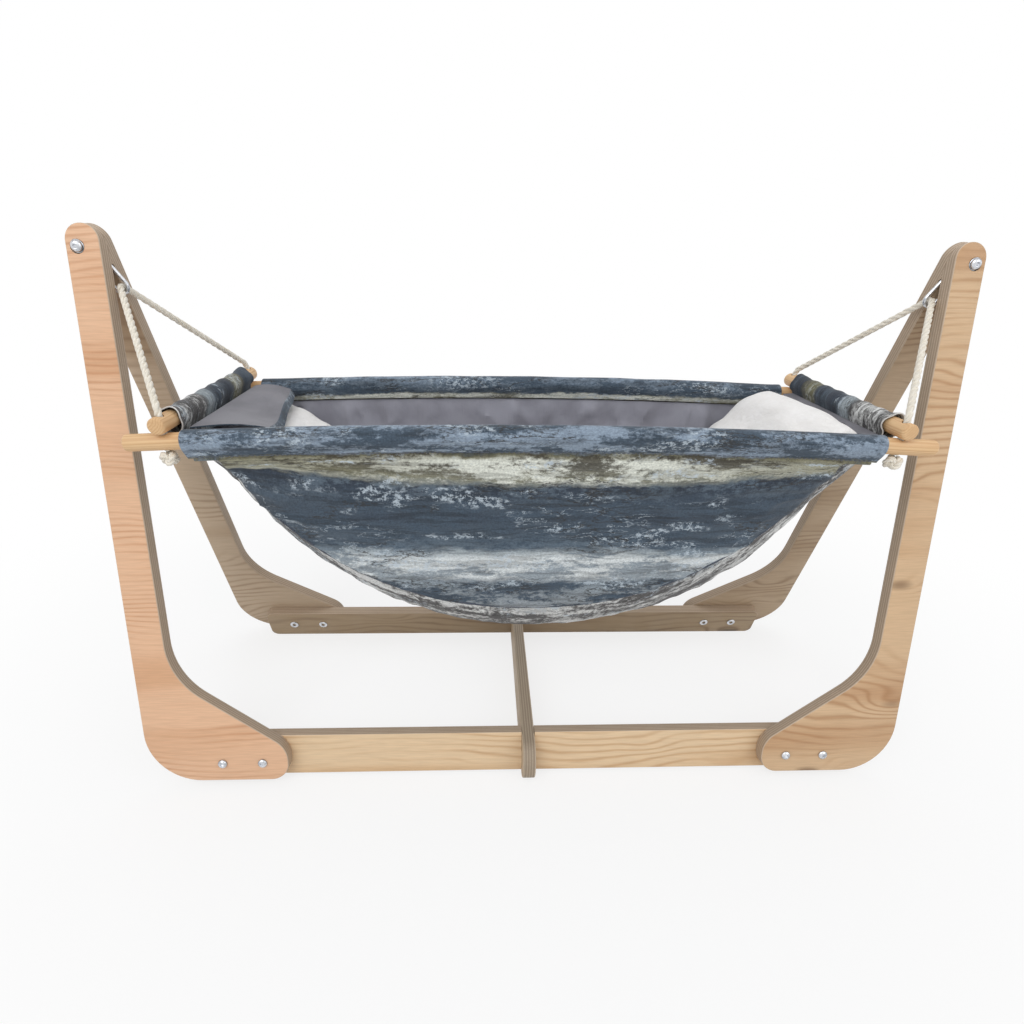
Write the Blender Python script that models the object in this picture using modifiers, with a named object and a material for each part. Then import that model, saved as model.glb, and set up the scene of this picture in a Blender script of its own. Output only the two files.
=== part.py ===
"""Cat hammock: a sling on a frame of four dowels, hung by two ropes between the
leaning plywood legs of a knock-down stand.

The object stands on z = 0 with its middle at the origin. X runs along the hammock,
from the left end to the right one, Y from front to back. All sizes are in metres.
"""

import math

import bmesh
import bpy
from mathutils import Matrix, Vector

# Hammock frame, which the stand, the ropes and the sling are sized from
FRAME_HALF_LENGTH = 0.344
FRAME_HALF_WIDTH = 0.104

# Plywood stand
PLY = 0.015
LEAN = math.radians(14.5)
FIT = 0.0003
CHAMFER = 0.0015

LEG_CLEAR_OF_FRAME = 0.0665
LEG_SPLAY = 0.007
LEG_WIDTH_FOOT = 0.0355
LEG_WIDTH_TOP = 0.031
LEG_BOTTOM = 0.003
LEG_TOP = 0.590
LEG_HEEL_RADIUS = 0.060
KNEE_HEIGHT = 0.130
KNEE_RADIUS = 0.080
FOOT_LENGTH = 0.157
FOOT_SLOPE = math.radians(35.6)
FOOT_TIP_UPPER_RADIUS = 0.030
FOOT_TIP_LOWER_RADIUS = 0.020

RAIL_END_INSET = 0.0445
RAIL_HEIGHT = 0.050
RAIL_CORNER = 0.010

BRACE_OVERHANG = 0.0054
BRACE_HEIGHT = 0.050
BRACE_END_RADIUS = 0.022

# Fasteners
BOLT_DIAMETER = 0.006
BOLT_CLEARANCE = 0.0006
HEAD_DIAMETER = 0.0105
HEAD_HEIGHT = 0.0033
SOCKET_ACROSS = 0.004
SOCKET_DEPTH = 0.0018
WASHER_DIAMETER = 0.012
WASHER_THICKNESS = 0.0015
SPOT_FACE_CLEARANCE = 0.0005
FOOT_BOLT_SPACING = 0.045
FOOT_BOLT_INSET = 0.0835
NUT_BARREL_DIAMETER = 0.009
NUT_BARREL_LENGTH = 0.011
NUT_FLANGE_DIAMETER = 0.0125
NUT_FLANGE_THICKNESS = 0.0014
CAP_NUT_DIAMETER = 0.0105
CAP_NUT_HEIGHT = 0.0075

# Apex, where the front and the rear leg meet and the rope hangs
APEX_BOLT_BELOW_TOP = 0.0185
APEX_BOLT_INSET = 0.011
APEX_MEETING_DROP = 0.012
LINK_WIRE = 0.0035
LINK_INNER_RADIUS = 0.0043
LINK_REACH = 0.042
LINK_POCKET_CLEARANCE = 0.0006

# Dowels and rope
DOWEL_DIAMETER = 0.016
DOWEL_END_CHAMFER = 0.001
DOWEL_BOW = 0.008
LONG_DOWEL_OVERHANG = 0.036
SHORT_DOWEL_OVERHANG = 0.010
FRAME_DROP = 0.141
ROPE_DIAMETER = 0.007
ROPE_HOLE_CLEARANCE = 0.0012
ROPE_WIRE_GAP = 0.0006
ROPE_BEND_RADIUS = 0.010
KNOT_DIAMETER = 0.0176
KNOT_HEIGHT = 0.015

# Sling
SLEEVE_THICKNESS = 0.0012
SLEEVE_CLEARANCE = 0.0004
SLEEVE_DROP = 0.018
LONG_SLEEVE_INSET = 0.017
SHORT_SLEEVE_INSET = 0.015
CLOTH_THICKNESS = 0.0015
LINING_THICKNESS = 0.0012
LAYER_GAP = 0.0005
SEAM_GAP = 0.0004
BELLY_DEPTH = 0.268
BELLY_SHIFT = 0.006
BELLY_POWER = 2.2
BELLY_FULLNESS_LEFT = 0.75
BELLY_FULLNESS_RIGHT = 0.57
STRIP_INSET = 0.016
SEAM_DEPTH = 0.185
SEAM_SHIFT = -0.002
SEAM_INSET = 0.044
PANEL_END_INSET = 0.006
WALL_BULGE = 0.004

# Plush mat
MAT_THICKNESS = 0.028
MAT_SIDE_GAP = 0.005
MAT_LEFT_END = -0.93
MAT_RIGHT_END = 0.988
MAT_GAP = 0.0016
MAT_END_ROUNDING = 0.030

# Mesh fineness
CORNER_STEPS = 6
SMALL_ROUND_SIDES = 10
PANEL_STATIONS = 20
END_STATIONS = 5
STRIP_COLUMNS = 8
WALL_ROWS = 4
SLEEVE_SIDES = 16
SLEEVE_STATIONS = 8
MAT_END_STEPS = 4
DOWEL_STATIONS = 8

# Places that follow from the sizes above
SIN_LEAN = math.sin(LEAN)
COS_LEAN = math.cos(LEAN)
TAN_LEAN = math.tan(LEAN)
DOWEL_RADIUS = DOWEL_DIAMETER / 2
ROPE_RADIUS = ROPE_DIAMETER / 2

LEG_OUTER_TOP = FRAME_HALF_LENGTH + LEG_CLEAR_OF_FRAME + LEG_WIDTH_TOP
LEG_OUTER_FOOT = LEG_OUTER_TOP - LEG_SPLAY
FOOT_TIP = LEG_OUTER_FOOT - FOOT_LENGTH
RAIL_HALF_LENGTH = LEG_OUTER_FOOT - RAIL_END_INSET
FOOT_BOLT_OUTER = LEG_OUTER_FOOT - FOOT_BOLT_INSET
FOOT_BOLT_INNER = FOOT_BOLT_OUTER - FOOT_BOLT_SPACING
RAIL_MIDDLE = RAIL_HEIGHT / 2
APEX_BOLT_HEIGHT = LEG_TOP - APEX_BOLT_BELOW_TOP
APEX_MEETING = APEX_BOLT_HEIGHT - APEX_MEETING_DROP
PANEL_RISE = 2 * PLY * SIN_LEAN
FOOT_HALF_DEPTH = APEX_MEETING * SIN_LEAN + PLY * COS_LEAN
BRACE_HALF_LENGTH = FOOT_HALF_DEPTH + BRACE_OVERHANG

APEX_BOLT_X = LEG_OUTER_TOP - APEX_BOLT_INSET
APEX_BOLT_Z = APEX_BOLT_HEIGHT * COS_LEAN + PANEL_RISE - PLY * SIN_LEAN / 2
SHORT_DOWEL_Z = APEX_BOLT_Z - FRAME_DROP
LONG_DOWEL_Z = SHORT_DOWEL_Z - DOWEL_DIAMETER - FIT
ROPE_KINK_Z = SHORT_DOWEL_Z + DOWEL_RADIUS + ROPE_BEND_RADIUS / 2
LONG_DOWEL_HALF_LENGTH = FRAME_HALF_LENGTH + LONG_DOWEL_OVERHANG
SHORT_DOWEL_HALF_LENGTH = FRAME_HALF_WIDTH + SHORT_DOWEL_OVERHANG
LINK_RADIUS = LINK_INNER_RADIUS + LINK_WIRE / 2
ROPE_OVER_WIRE = LINK_WIRE / 2 + ROPE_WIRE_GAP + ROPE_RADIUS

LONG_SLEEVE_HALF_LENGTH = FRAME_HALF_LENGTH - LONG_SLEEVE_INSET
SHORT_SLEEVE_HALF_LENGTH = FRAME_HALF_WIDTH - SHORT_SLEEVE_INSET
SHORT_SEAM_Z = SHORT_DOWEL_Z - SLEEVE_DROP
LONG_SEAM_Z = LONG_DOWEL_Z - SLEEVE_DROP
SEAM_HALF_LENGTH = FRAME_HALF_LENGTH - SEAM_INSET
PANEL_SHARE = (SEAM_HALF_LENGTH - PANEL_END_INSET) / FRAME_HALF_LENGTH
STRIP_HALF_WIDTH = FRAME_HALF_WIDTH - STRIP_INSET
MAT_HALF_WIDTH = STRIP_HALF_WIDTH - MAT_SIDE_GAP


def pull_direction():
    """Unit (x, z) direction in which the right rope pulls its link."""
    pull = Vector((FRAME_HALF_LENGTH - APEX_BOLT_X, ROPE_KINK_Z - APEX_BOLT_Z))
    return pull.normalized()


PULL_X, PULL_Z = pull_direction()
SWING_X = APEX_BOLT_X + PULL_X * (LINK_REACH + ROPE_OVER_WIRE)
SWING_Z = APEX_BOLT_Z + PULL_Z * (LINK_REACH + ROPE_OVER_WIRE)


# Scene and helper functions
def clear_scene():
    for obj in list(bpy.data.objects):
        bpy.data.objects.remove(obj, do_unlink=True)
    for collection in list(bpy.data.collections):
        bpy.data.collections.remove(collection)


def make_collection(name):
    collection = bpy.data.collections.new(name)
    bpy.context.scene.collection.children.link(collection)
    return collection


def make_material(name, colour, roughness, metallic=0.0):
    material = bpy.data.materials.new(name)
    material.use_nodes = True
    shader = material.node_tree.nodes["Principled BSDF"]
    shader.inputs["Base Color"].default_value = (*colour, 1.0)
    shader.inputs["Roughness"].default_value = roughness
    shader.inputs["Metallic"].default_value = metallic
    material.diffuse_color = (*colour, 1.0)
    return material


def link_mesh(name, mesh, collection, matrix=Matrix.Identity(4), material=None):
    obj = bpy.data.objects.new(name, mesh)
    collection.objects.link(obj)
    obj.matrix_world = matrix
    if material is not None:
        mesh.materials.clear()
        mesh.materials.append(material)
    return obj


def mesh_from_bmesh(name, bm):
    mesh = bpy.data.meshes.new(name)
    bm.to_mesh(mesh)
    bm.free()
    return mesh


def shade(mesh, angle_degrees=35.0):
    mesh.shade_smooth()
    mesh.set_sharp_from_angle(angle=math.radians(angle_degrees))


def evaluated_mesh(obj):
    """The object's mesh with its modifiers or its curve bevel worked in."""
    graph = bpy.context.evaluated_depsgraph_get()
    graph.update()
    mesh = bpy.data.meshes.new_from_object(obj.evaluated_get(graph), depsgraph=graph)
    bm = bmesh.new()
    bm.from_mesh(mesh)
    bmesh.ops.remove_doubles(bm, verts=bm.verts, dist=0.000005)
    bmesh.ops.dissolve_degenerate(bm, edges=bm.edges, dist=0.000001)
    bmesh.ops.recalc_face_normals(bm, faces=bm.faces)
    bm.to_mesh(mesh)
    bm.free()
    return mesh


def settle(obj, collection, material):
    """Replace a curve, or a mesh with modifiers, by the plain mesh it makes."""
    name, matrix = obj.name, obj.matrix_world.copy()
    mesh = evaluated_mesh(obj)
    bpy.data.objects.remove(obj, do_unlink=True)
    mesh.name = name
    return link_mesh(name, mesh, collection, matrix, material)


def rounded_outline(corners):
    """Points of a polygon whose corners (x, y, radius) are rounded by arcs."""
    points = []
    count = len(corners)
    for index, (x, y, radius) in enumerate(corners):
        corner = Vector((x, y))
        before = Vector(corners[index - 1][:2]) - corner
        after = Vector(corners[(index + 1) % count][:2]) - corner
        before.normalize()
        after.normalize()
        half_angle = before.angle(after) / 2
        reach = radius / math.tan(half_angle)
        centre = corner + (before + after).normalized() * (radius / math.sin(half_angle))
        first = corner + before * reach - centre
        turn = first.angle_signed(corner + after * reach - centre)
        for step in range(CORNER_STEPS + 1):
            angle = -turn * step / CORNER_STEPS
            rotated = Matrix.Rotation(angle, 2) @ first
            points.append(centre + rotated)
    return points


def outline_curve(name, outline, thickness, collection, chamfer=0.0):
    """A flat outline in local XY, thickened evenly about local z = 0."""
    curve = bpy.data.curves.new(name, "CURVE")
    curve.dimensions = "2D"
    curve.fill_mode = "BOTH"
    spline = curve.splines.new("POLY")
    spline.points.add(len(outline) - 1)
    for point, (x, y) in zip(spline.points, outline):
        point.co = (x, y, 0.0, 1.0)
    spline.use_cyclic_u = True
    curve.extrude = thickness / 2 - chamfer
    if chamfer:
        curve.bevel_depth = chamfer
        curve.bevel_resolution = 0
        curve.offset = -chamfer
    obj = bpy.data.objects.new(name, curve)
    collection.objects.link(obj)
    return obj


def tube_curve(name, points, radius, resolution, collection):
    curve = bpy.data.curves.new(name, "CURVE")
    curve.dimensions = "3D"
    curve.bevel_depth = radius
    curve.bevel_resolution = resolution
    curve.use_fill_caps = True
    spline = curve.splines.new("POLY")
    spline.points.add(len(points) - 1)
    for point, place in zip(spline.points, points):
        point.co = (*place, 1.0)
    obj = bpy.data.objects.new(name, curve)
    collection.objects.link(obj)
    return obj


def turned(name, profile, sides, collection):
    """A turned solid about local Z, from a profile of (radius, z) run top to bottom."""
    bm = bmesh.new()
    verts = [bm.verts.new((radius, 0.0, z)) for radius, z in profile]
    for first, second in zip(verts, verts[1:]):
        bm.edges.new((first, second))
    obj = link_mesh(name, mesh_from_bmesh(name, bm), collection)
    screw = obj.modifiers.new("turn", "SCREW")
    screw.steps = sides
    screw.render_steps = sides
    screw.use_merge_vertices = True
    screw.merge_threshold = 0.00001
    return obj


def hide_cutter(obj):
    obj.hide_render = True
    obj.display_type = "WIRE"
    return obj


def box_cutter(name, size, matrix, cutters):
    bm = bmesh.new()
    bmesh.ops.create_cube(bm, size=1.0, matrix=Matrix.Diagonal((*size, 1.0)))
    return hide_cutter(link_mesh(name, mesh_from_bmesh(name, bm), cutters, matrix))


def round_cutter(name, radius, length, matrix, cutters, sides=SMALL_ROUND_SIDES):
    """A cylinder about local Z, centred on its matrix."""
    bm = bmesh.new()
    bmesh.ops.create_cone(bm, cap_ends=True, segments=sides, radius1=radius, radius2=radius,
                          depth=length)
    return hide_cutter(link_mesh(name, mesh_from_bmesh(name, bm), cutters, matrix))


def cut(obj, cutter):
    modifier = obj.modifiers.new("cut_" + cutter.name, "BOOLEAN")
    modifier.operation = "DIFFERENCE"
    modifier.solver = "EXACT"
    modifier.object = cutter
    return obj


def copies(places, source, collection, material):
    """An object for each name in places, all with the source mesh, at its matrix."""
    source.materials.clear()
    source.materials.append(material)
    shade(source)
    for name, matrix in places.items():
        link_mesh(name, source, collection, matrix)


def keep_world(obj, parent):
    matrix = obj.matrix_world.copy()
    obj.parent = parent
    obj.matrix_parent_inverse = parent.matrix_world.inverted()
    obj.matrix_world = matrix
    return obj


# Frames of the two leaning panels
def panel_matrix(rear):
    """Local x along the rail, y up the panel, z out of its outer face."""
    axes = Matrix(((1, 0, 0, 0), (0, SIN_LEAN, -COS_LEAN, 0), (0, COS_LEAN, SIN_LEAN, 0),
                   (0, 0, 0, 1)))
    front = Matrix.Translation((0, -FOOT_HALF_DEPTH, PANEL_RISE)) @ axes
    return Matrix.Rotation(math.pi, 4, "Z") @ front if rear else front


def outer_face_y(z):
    """Distance of a panel's outer face from the middle plane at height z."""
    return FOOT_HALF_DEPTH - (z - PANEL_RISE) * TAN_LEAN


# Stand
def leg_outline(hand):
    """Outline of a leg with its foot; hand is +1 or -1 for the side of local x."""
    inner_foot = LEG_OUTER_FOOT - LEG_WIDTH_FOOT
    inner_top = LEG_OUTER_TOP - LEG_WIDTH_TOP
    top_radius = LEG_WIDTH_TOP / 2 - 0.0002
    tip_rise = KNEE_HEIGHT - (inner_foot - FOOT_TIP) * math.tan(FOOT_SLOPE)
    corners = [(LEG_OUTER_FOOT, LEG_BOTTOM, LEG_HEEL_RADIUS),
               (LEG_OUTER_TOP, LEG_TOP, top_radius),
               (inner_top, LEG_TOP, top_radius),
               (inner_foot, KNEE_HEIGHT, KNEE_RADIUS),
               (FOOT_TIP, tip_rise, FOOT_TIP_UPPER_RADIUS),
               (FOOT_TIP, LEG_BOTTOM, FOOT_TIP_LOWER_RADIUS)]
    corners = [(hand * x, y, radius) for x, y, radius in corners]
    return rounded_outline(corners)


def apex_cutters(side, hand, cutters):
    """What is taken off a leg at the apex: planed face, spot face, hole, link pocket."""
    x = hand * APEX_BOLT_X
    tag = f"{side:+d}_{hand:+d}"
    across = Matrix.Rotation(math.pi / 2, 4, "X")
    planed = box_cutter("planed_" + tag, (0.08, 0.04, 0.12),
                        Matrix.Translation((x, -side * (0.02 - FIT / 2), APEX_BOLT_Z)), cutters)
    seat_radius = WASHER_DIAMETER / 2 + SPOT_FACE_CLEARANCE
    seat = spot_face_y() + 0.01
    spot = round_cutter("spot_face_" + tag, seat_radius, 0.02,
                        Matrix.Translation((x, side * seat, APEX_BOLT_Z)) @ across, cutters, 20)
    hole = round_cutter("apex_hole_" + tag, (BOLT_DIAMETER + BOLT_CLEARANCE) / 2, 0.06,
                        Matrix.Translation((x, 0, APEX_BOLT_Z)) @ across, cutters)
    return [planed, spot, hole, link_pocket(hand, tag, cutters)]


def spot_face_y():
    """Distance of the washers' seats from the middle plane."""
    return outer_face_y(APEX_BOLT_Z) - (WASHER_DIAMETER / 2 + SPOT_FACE_CLEARANCE) * TAN_LEAN


def link_frame(hand):
    """Frame of a hanging link: local x towards the rope, y across the link, z along Y."""
    along = Vector((hand * PULL_X, 0, PULL_Z))
    normal = Vector((0, 1, 0))
    side = normal.cross(along)
    rotation = Matrix((along, side, normal)).transposed().to_4x4()
    return Matrix.Translation((hand * APEX_BOLT_X, 0, APEX_BOLT_Z)) @ rotation


def link_ends():
    """Centres of the link's two half rings, measured from the bolt along the pull."""
    near = LINK_RADIUS - (BOLT_DIAMETER / 2 + FIT + LINK_WIRE / 2)
    far = LINK_REACH + ROPE_OVER_WIRE - LINK_RADIUS
    return near, far


def stadium(start, end, radius, steps=8):
    points = []
    for step in range(steps + 1):
        angle = math.pi / 2 + math.pi * step / steps
        points.append((start + radius * math.cos(angle), radius * math.sin(angle)))
    for step in range(steps + 1):
        angle = -math.pi / 2 + math.pi * step / steps
        points.append((end + radius * math.cos(angle), radius * math.sin(angle)))
    return points


def link_pocket(hand, tag, cutters):
    near, far = link_ends()
    radius = LINK_RADIUS + LINK_WIRE / 2 + LINK_POCKET_CLEARANCE
    depth = LINK_WIRE + 2 * LINK_POCKET_CLEARANCE
    outline = stadium(near, far, radius, 6)
    pocket = outline_curve("link_pocket_" + tag, outline, depth, cutters)
    pocket.matrix_world = link_frame(hand)
    return hide_cutter(settle(pocket, cutters, None))


def make_leg(name, rear, hand, parts, cutters, material):
    """A leg at world side hand (+1 right, -1 left) of the front or the rear panel."""
    side = 1 if rear else -1
    local_hand = -hand if rear else hand
    frame = panel_matrix(rear)
    leg = outline_curve(name, leg_outline(local_hand), PLY, parts, CHAMFER)
    leg.matrix_world = frame @ Matrix.Translation((0, 0, -PLY / 2))
    leg = settle(leg, parts, material)
    shade(leg.data)
    for index, place in enumerate((FOOT_BOLT_INNER, FOOT_BOLT_OUTER)):
        centre = frame @ Matrix.Translation((local_hand * place, RAIL_MIDDLE, -PLY / 2))
        cut(leg, round_cutter(f"{name}_bolt_hole_{index}", (BOLT_DIAMETER + BOLT_CLEARANCE) / 2,
                              2 * PLY, centre, cutters))
    for cutter in apex_cutters(side, hand, cutters):
        cut(leg, cutter)
    return leg


def make_rail(name, rear, parts, cutters, material):
    frame = panel_matrix(rear) @ Matrix.Translation((0, 0, -1.5 * PLY))
    corners = [(RAIL_HALF_LENGTH, 0, RAIL_CORNER), (RAIL_HALF_LENGTH, RAIL_HEIGHT, RAIL_CORNER),
               (-RAIL_HALF_LENGTH, RAIL_HEIGHT, RAIL_CORNER), (-RAIL_HALF_LENGTH, 0, RAIL_CORNER)]
    rail = outline_curve(name, rounded_outline(corners), PLY - 2 * FIT, parts)
    rail.matrix_world = frame
    rail = settle(rail, parts, material)
    shade(rail.data)
    radius = (NUT_BARREL_DIAMETER + BOLT_CLEARANCE) / 2
    for word, place in bolt_places().items():
        centre = frame @ Matrix.Translation((place, RAIL_MIDDLE, 0))
        cut(rail, round_cutter(f"{name}_nut_hole_{word}", radius, 2 * PLY, centre, cutters))
    slot_height = RAIL_HEIGHT
    slot = frame @ Matrix.Translation((0, RAIL_MIDDLE + slot_height / 2, 0))
    cut(rail, box_cutter(name + "_slot", (PLY + 2 * FIT, slot_height, 2 * PLY), slot, cutters))
    return rail


def bolt_places():
    """Place along the rail of each foot bolt, by the words for its end."""
    places = {}
    for end, hand in (("left", -1), ("right", 1)):
        places[end + "_inner"] = hand * FOOT_BOLT_INNER
        places[end + "_outer"] = hand * FOOT_BOLT_OUTER
    return places


def make_brace(parts, cutters, material):
    """Cross brace on edge, half-lapped over both rails from above."""
    corners = [(BRACE_HALF_LENGTH, 0, BRACE_END_RADIUS),
               (BRACE_HALF_LENGTH, BRACE_HEIGHT, BRACE_END_RADIUS),
               (-BRACE_HALF_LENGTH, BRACE_HEIGHT, BRACE_END_RADIUS),
               (-BRACE_HALF_LENGTH, 0, BRACE_END_RADIUS)]
    brace = outline_curve("cross_brace", rounded_outline(corners), PLY, parts, CHAMFER)
    brace.matrix_world = Matrix(((0, 0, 1, 0), (1, 0, 0, 0), (0, 1, 0, 0), (0, 0, 0, 1)))
    brace = settle(brace, parts, material)
    shade(brace.data)
    for rear in (False, True):
        height = RAIL_MIDDLE + FIT
        frame = panel_matrix(rear) @ Matrix.Translation((0, height / 2 - 0.01, -1.5 * PLY))
        size = (2 * PLY, height + 0.02, PLY + 2 * FIT)
        cut(brace, box_cutter(f"brace_slot_{int(rear)}", size, frame, cutters))
    return brace


def button_bolt(length, parts, cutters):
    """A button-head bolt with a hexagon socket, its shank down local -Z from z = 0."""
    radius, head = BOLT_DIAMETER / 2, HEAD_DIAMETER / 2
    profile = [(0, HEAD_HEIGHT), (head * 0.45, HEAD_HEIGHT), (head * 0.78, HEAD_HEIGHT * 0.72),
               (head, HEAD_HEIGHT * 0.2), (head, 0), (radius, 0), (radius, -length + 0.0006),
               (radius - 0.0006, -length), (0, -length)]
    bolt = turned("bolt_pattern", profile, SMALL_ROUND_SIDES, parts)
    socket_place = Matrix.Translation((0, 0, HEAD_HEIGHT))
    socket_radius = SOCKET_ACROSS / math.sqrt(3)
    cut(bolt, round_cutter("hexagon_socket", socket_radius, 2 * SOCKET_DEPTH, socket_place,
                           cutters, 6))
    mesh = evaluated_mesh(bolt)
    bpy.data.objects.remove(bolt, do_unlink=True)
    return mesh


def turned_mesh(profile, parts, sides=SMALL_ROUND_SIDES):
    obj = turned("turned_pattern", profile, sides, parts)
    mesh = evaluated_mesh(obj)
    bpy.data.objects.remove(obj, do_unlink=True)
    return mesh


def sleeve_nut_mesh(parts):
    """A flanged sleeve nut: flange below local z = 0, barrel with its bore above."""
    barrel, flange = NUT_BARREL_DIAMETER / 2, NUT_FLANGE_DIAMETER / 2
    bore = BOLT_DIAMETER / 2 + FIT
    profile = [(0, FIT), (bore, FIT), (bore, NUT_BARREL_LENGTH), (barrel, NUT_BARREL_LENGTH),
               (barrel, 0), (flange, 0), (flange, -NUT_FLANGE_THICKNESS / 2),
               (flange - 0.0008, -NUT_FLANGE_THICKNESS), (0, -NUT_FLANGE_THICKNESS)]
    return turned_mesh(profile, parts)


def cap_nut_mesh(parts):
    """A domed nut with a blind bore, its seat at local z = 0 and its dome above."""
    outer, bore = CAP_NUT_DIAMETER / 2, BOLT_DIAMETER / 2 + FIT
    height = CAP_NUT_HEIGHT
    profile = [(0, height), (outer * 0.5, height * 0.93), (outer * 0.85, height * 0.68),
               (outer, height * 0.45), (outer, 0), (bore, 0), (bore, height * 0.55),
               (0, height * 0.55)]
    return turned_mesh(profile, parts)


def washer_mesh(parts):
    outer, inner = WASHER_DIAMETER / 2, (BOLT_DIAMETER + BOLT_CLEARANCE) / 2
    profile = [(inner, WASHER_THICKNESS), (outer, WASHER_THICKNESS), (outer, 0), (inner, 0),
               (inner, WASHER_THICKNESS)]
    return turned_mesh(profile, parts)


def make_foot_fasteners(parts, cutters, steel):
    """Bolts through each foot into flanged sleeve nuts on the rail's inner face."""
    bolts, nuts = {}, {}
    for side, rear in (("front", False), ("rear", True)):
        frame = panel_matrix(rear)
        for word, x in bolt_places().items():
            hand = "left" if (word.startswith("left")) != rear else "right"
            tag = f"{side}_{hand}_{word.split('_')[1]}"
            bolts["foot_bolt_" + tag] = frame @ Matrix.Translation((x, RAIL_MIDDLE, FIT))
            nuts["sleeve_nut_" + tag] = frame @ Matrix.Translation((x, RAIL_MIDDLE, -2 * PLY))
    copies(bolts, button_bolt(2 * PLY - 0.002, parts, cutters), parts, steel)
    copies(nuts, sleeve_nut_mesh(parts), parts, steel)


def make_apex_fasteners(parts, cutters, steel):
    """One bolt, two washers and a domed nut at each apex, along Y."""
    seat = spot_face_y()
    washer_top = seat + FIT + WASHER_THICKNESS
    bolt = button_bolt(2 * washer_top + FIT + CAP_NUT_HEIGHT * 0.5, parts, cutters)
    to_front = Matrix.Rotation(math.pi / 2, 4, "X")
    to_rear = Matrix.Rotation(-math.pi / 2, 4, "X")
    bolts, washers, nuts = {}, {}, {}
    for end, x in (("left", -APEX_BOLT_X), ("right", APEX_BOLT_X)):

        def place(y, turn, x=x):
            return Matrix.Translation((x, y, APEX_BOLT_Z)) @ turn

        bolts["apex_bolt_" + end] = place(-washer_top - FIT, to_front)
        washers["apex_washer_front_" + end] = place(-seat - FIT, to_front)
        washers["apex_washer_rear_" + end] = place(seat + FIT, to_rear)
        nuts["apex_cap_nut_" + end] = place(washer_top + FIT, to_rear)
    copies(bolts, bolt, parts, steel)
    copies(washers, washer_mesh(parts), parts, steel)
    copies(nuts, cap_nut_mesh(parts), parts, steel)


def make_link(name, hand, parts, steel):
    """An oval steel link that hangs on the apex bolt and carries the rope."""
    near, far = link_ends()
    outline = stadium(near, far, LINK_RADIUS)
    link = tube_curve(name, [(x, y, 0) for x, y in outline], LINK_WIRE / 2, 2, parts)
    link.data.splines[0].use_cyclic_u = True
    link.data.use_fill_caps = False
    link.matrix_world = link_frame(hand)
    link = settle(link, parts, steel)
    shade(link.data, 60)
    return link


# Ropes
def arc_between(start, corner, end, radius, steps):
    """Points of the arc that rounds the corner between two straight runs."""
    before = (start - corner).normalized()
    after = (end - corner).normalized()
    half_angle = before.angle(after) / 2
    centre = corner + (before + after).normalized() * (radius / math.sin(half_angle))
    reach = radius / math.tan(half_angle)
    first = corner + before * reach - centre
    last = corner + after * reach - centre
    axis = first.cross(last).normalized()
    turn = first.angle(last)
    return [centre + Matrix.Rotation(turn * step / steps, 3, axis) @ first
            for step in range(steps + 1)]


def straight(start, end, count):
    """Points between two ends, which are left out."""
    return [start.lerp(end, step / (count + 1)) for step in range(1, count + 1)]


def half_rope(hand, side):
    """Rope from under a long dowel to the top of its bend round the link's wire."""
    x, y = hand * FRAME_HALF_LENGTH, side * FRAME_HALF_WIDTH
    bottom = Vector((x, y, LONG_DOWEL_Z - DOWEL_RADIUS - FIT))
    kink = Vector((x, y, ROPE_KINK_Z))
    wire = Vector((hand * SWING_X, 0, SWING_Z))
    down = Vector((hand * PULL_X, 0, PULL_Z))
    across = Vector((0, side, 0))
    to_kink = kink - wire
    distance = math.hypot(to_kink.dot(down), to_kink.dot(across))
    bearing = math.atan2(to_kink.dot(across), to_kink.dot(down))
    tangent = bearing + math.acos(ROPE_OVER_WIRE / distance)

    def on_wrap(angle):
        return wire + (down * math.cos(angle) + across * math.sin(angle)) * ROPE_OVER_WIRE

    wrap = [on_wrap(tangent + (math.pi - tangent) * step / 4) for step in range(5)]
    bend = arc_between(bottom, kink, wrap[0], ROPE_BEND_RADIUS, 5)
    run = straight(bend[-1], wrap[0], 7)
    return [bottom] + straight(bottom, bend[0], 2) + bend + run + wrap


def make_rope(name, hand, parts, material):
    """One rope, over the link's wire, to the front corner and to the rear corner."""
    front = half_rope(hand, -1)
    rear = half_rope(hand, 1)
    points = front + list(reversed(rear))[1:]
    rope = tube_curve(name, points, ROPE_RADIUS, 2, parts)
    rope = settle(rope, parts, material)
    shade(rope.data, 60)
    return rope


def make_knots(parts, material):
    radius, height = KNOT_DIAMETER / 2, KNOT_HEIGHT
    profile = [(0, 0), (radius * 0.62, 0), (radius * 0.93, -height * 0.2),
               (radius, -height * 0.5), (radius * 0.85, -height * 0.8),
               (radius * 0.45, -height * 0.98), (0, -height)]
    top = LONG_DOWEL_Z - DOWEL_RADIUS - 2 * FIT
    knots = {}
    for side, y in (("front", -FRAME_HALF_WIDTH), ("rear", FRAME_HALF_WIDTH)):
        for end, x in (("left", -FRAME_HALF_LENGTH), ("right", FRAME_HALF_LENGTH)):
            knots[f"rope_knot_{side}_{end}"] = Matrix.Translation((x, y, top))
    copies(knots, turned_mesh(profile, parts), parts, material)


# Dowels
def bow(x):
    """How far the long dowels arch above their crossings with the short ones."""
    return DOWEL_BOW * (1 - (x / FRAME_HALF_LENGTH) ** 2)


def long_dowel_points(side):
    points = []
    for step in range(DOWEL_STATIONS + 1):
        x = LONG_DOWEL_HALF_LENGTH * (2 * step / DOWEL_STATIONS - 1)
        points.append((x, side * FRAME_HALF_WIDTH, LONG_DOWEL_Z + bow(x)))
    return points


def short_dowel_points(hand):
    x = hand * FRAME_HALF_LENGTH
    return [(x, -SHORT_DOWEL_HALF_LENGTH, SHORT_DOWEL_Z), (x, SHORT_DOWEL_HALF_LENGTH, SHORT_DOWEL_Z)]


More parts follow.
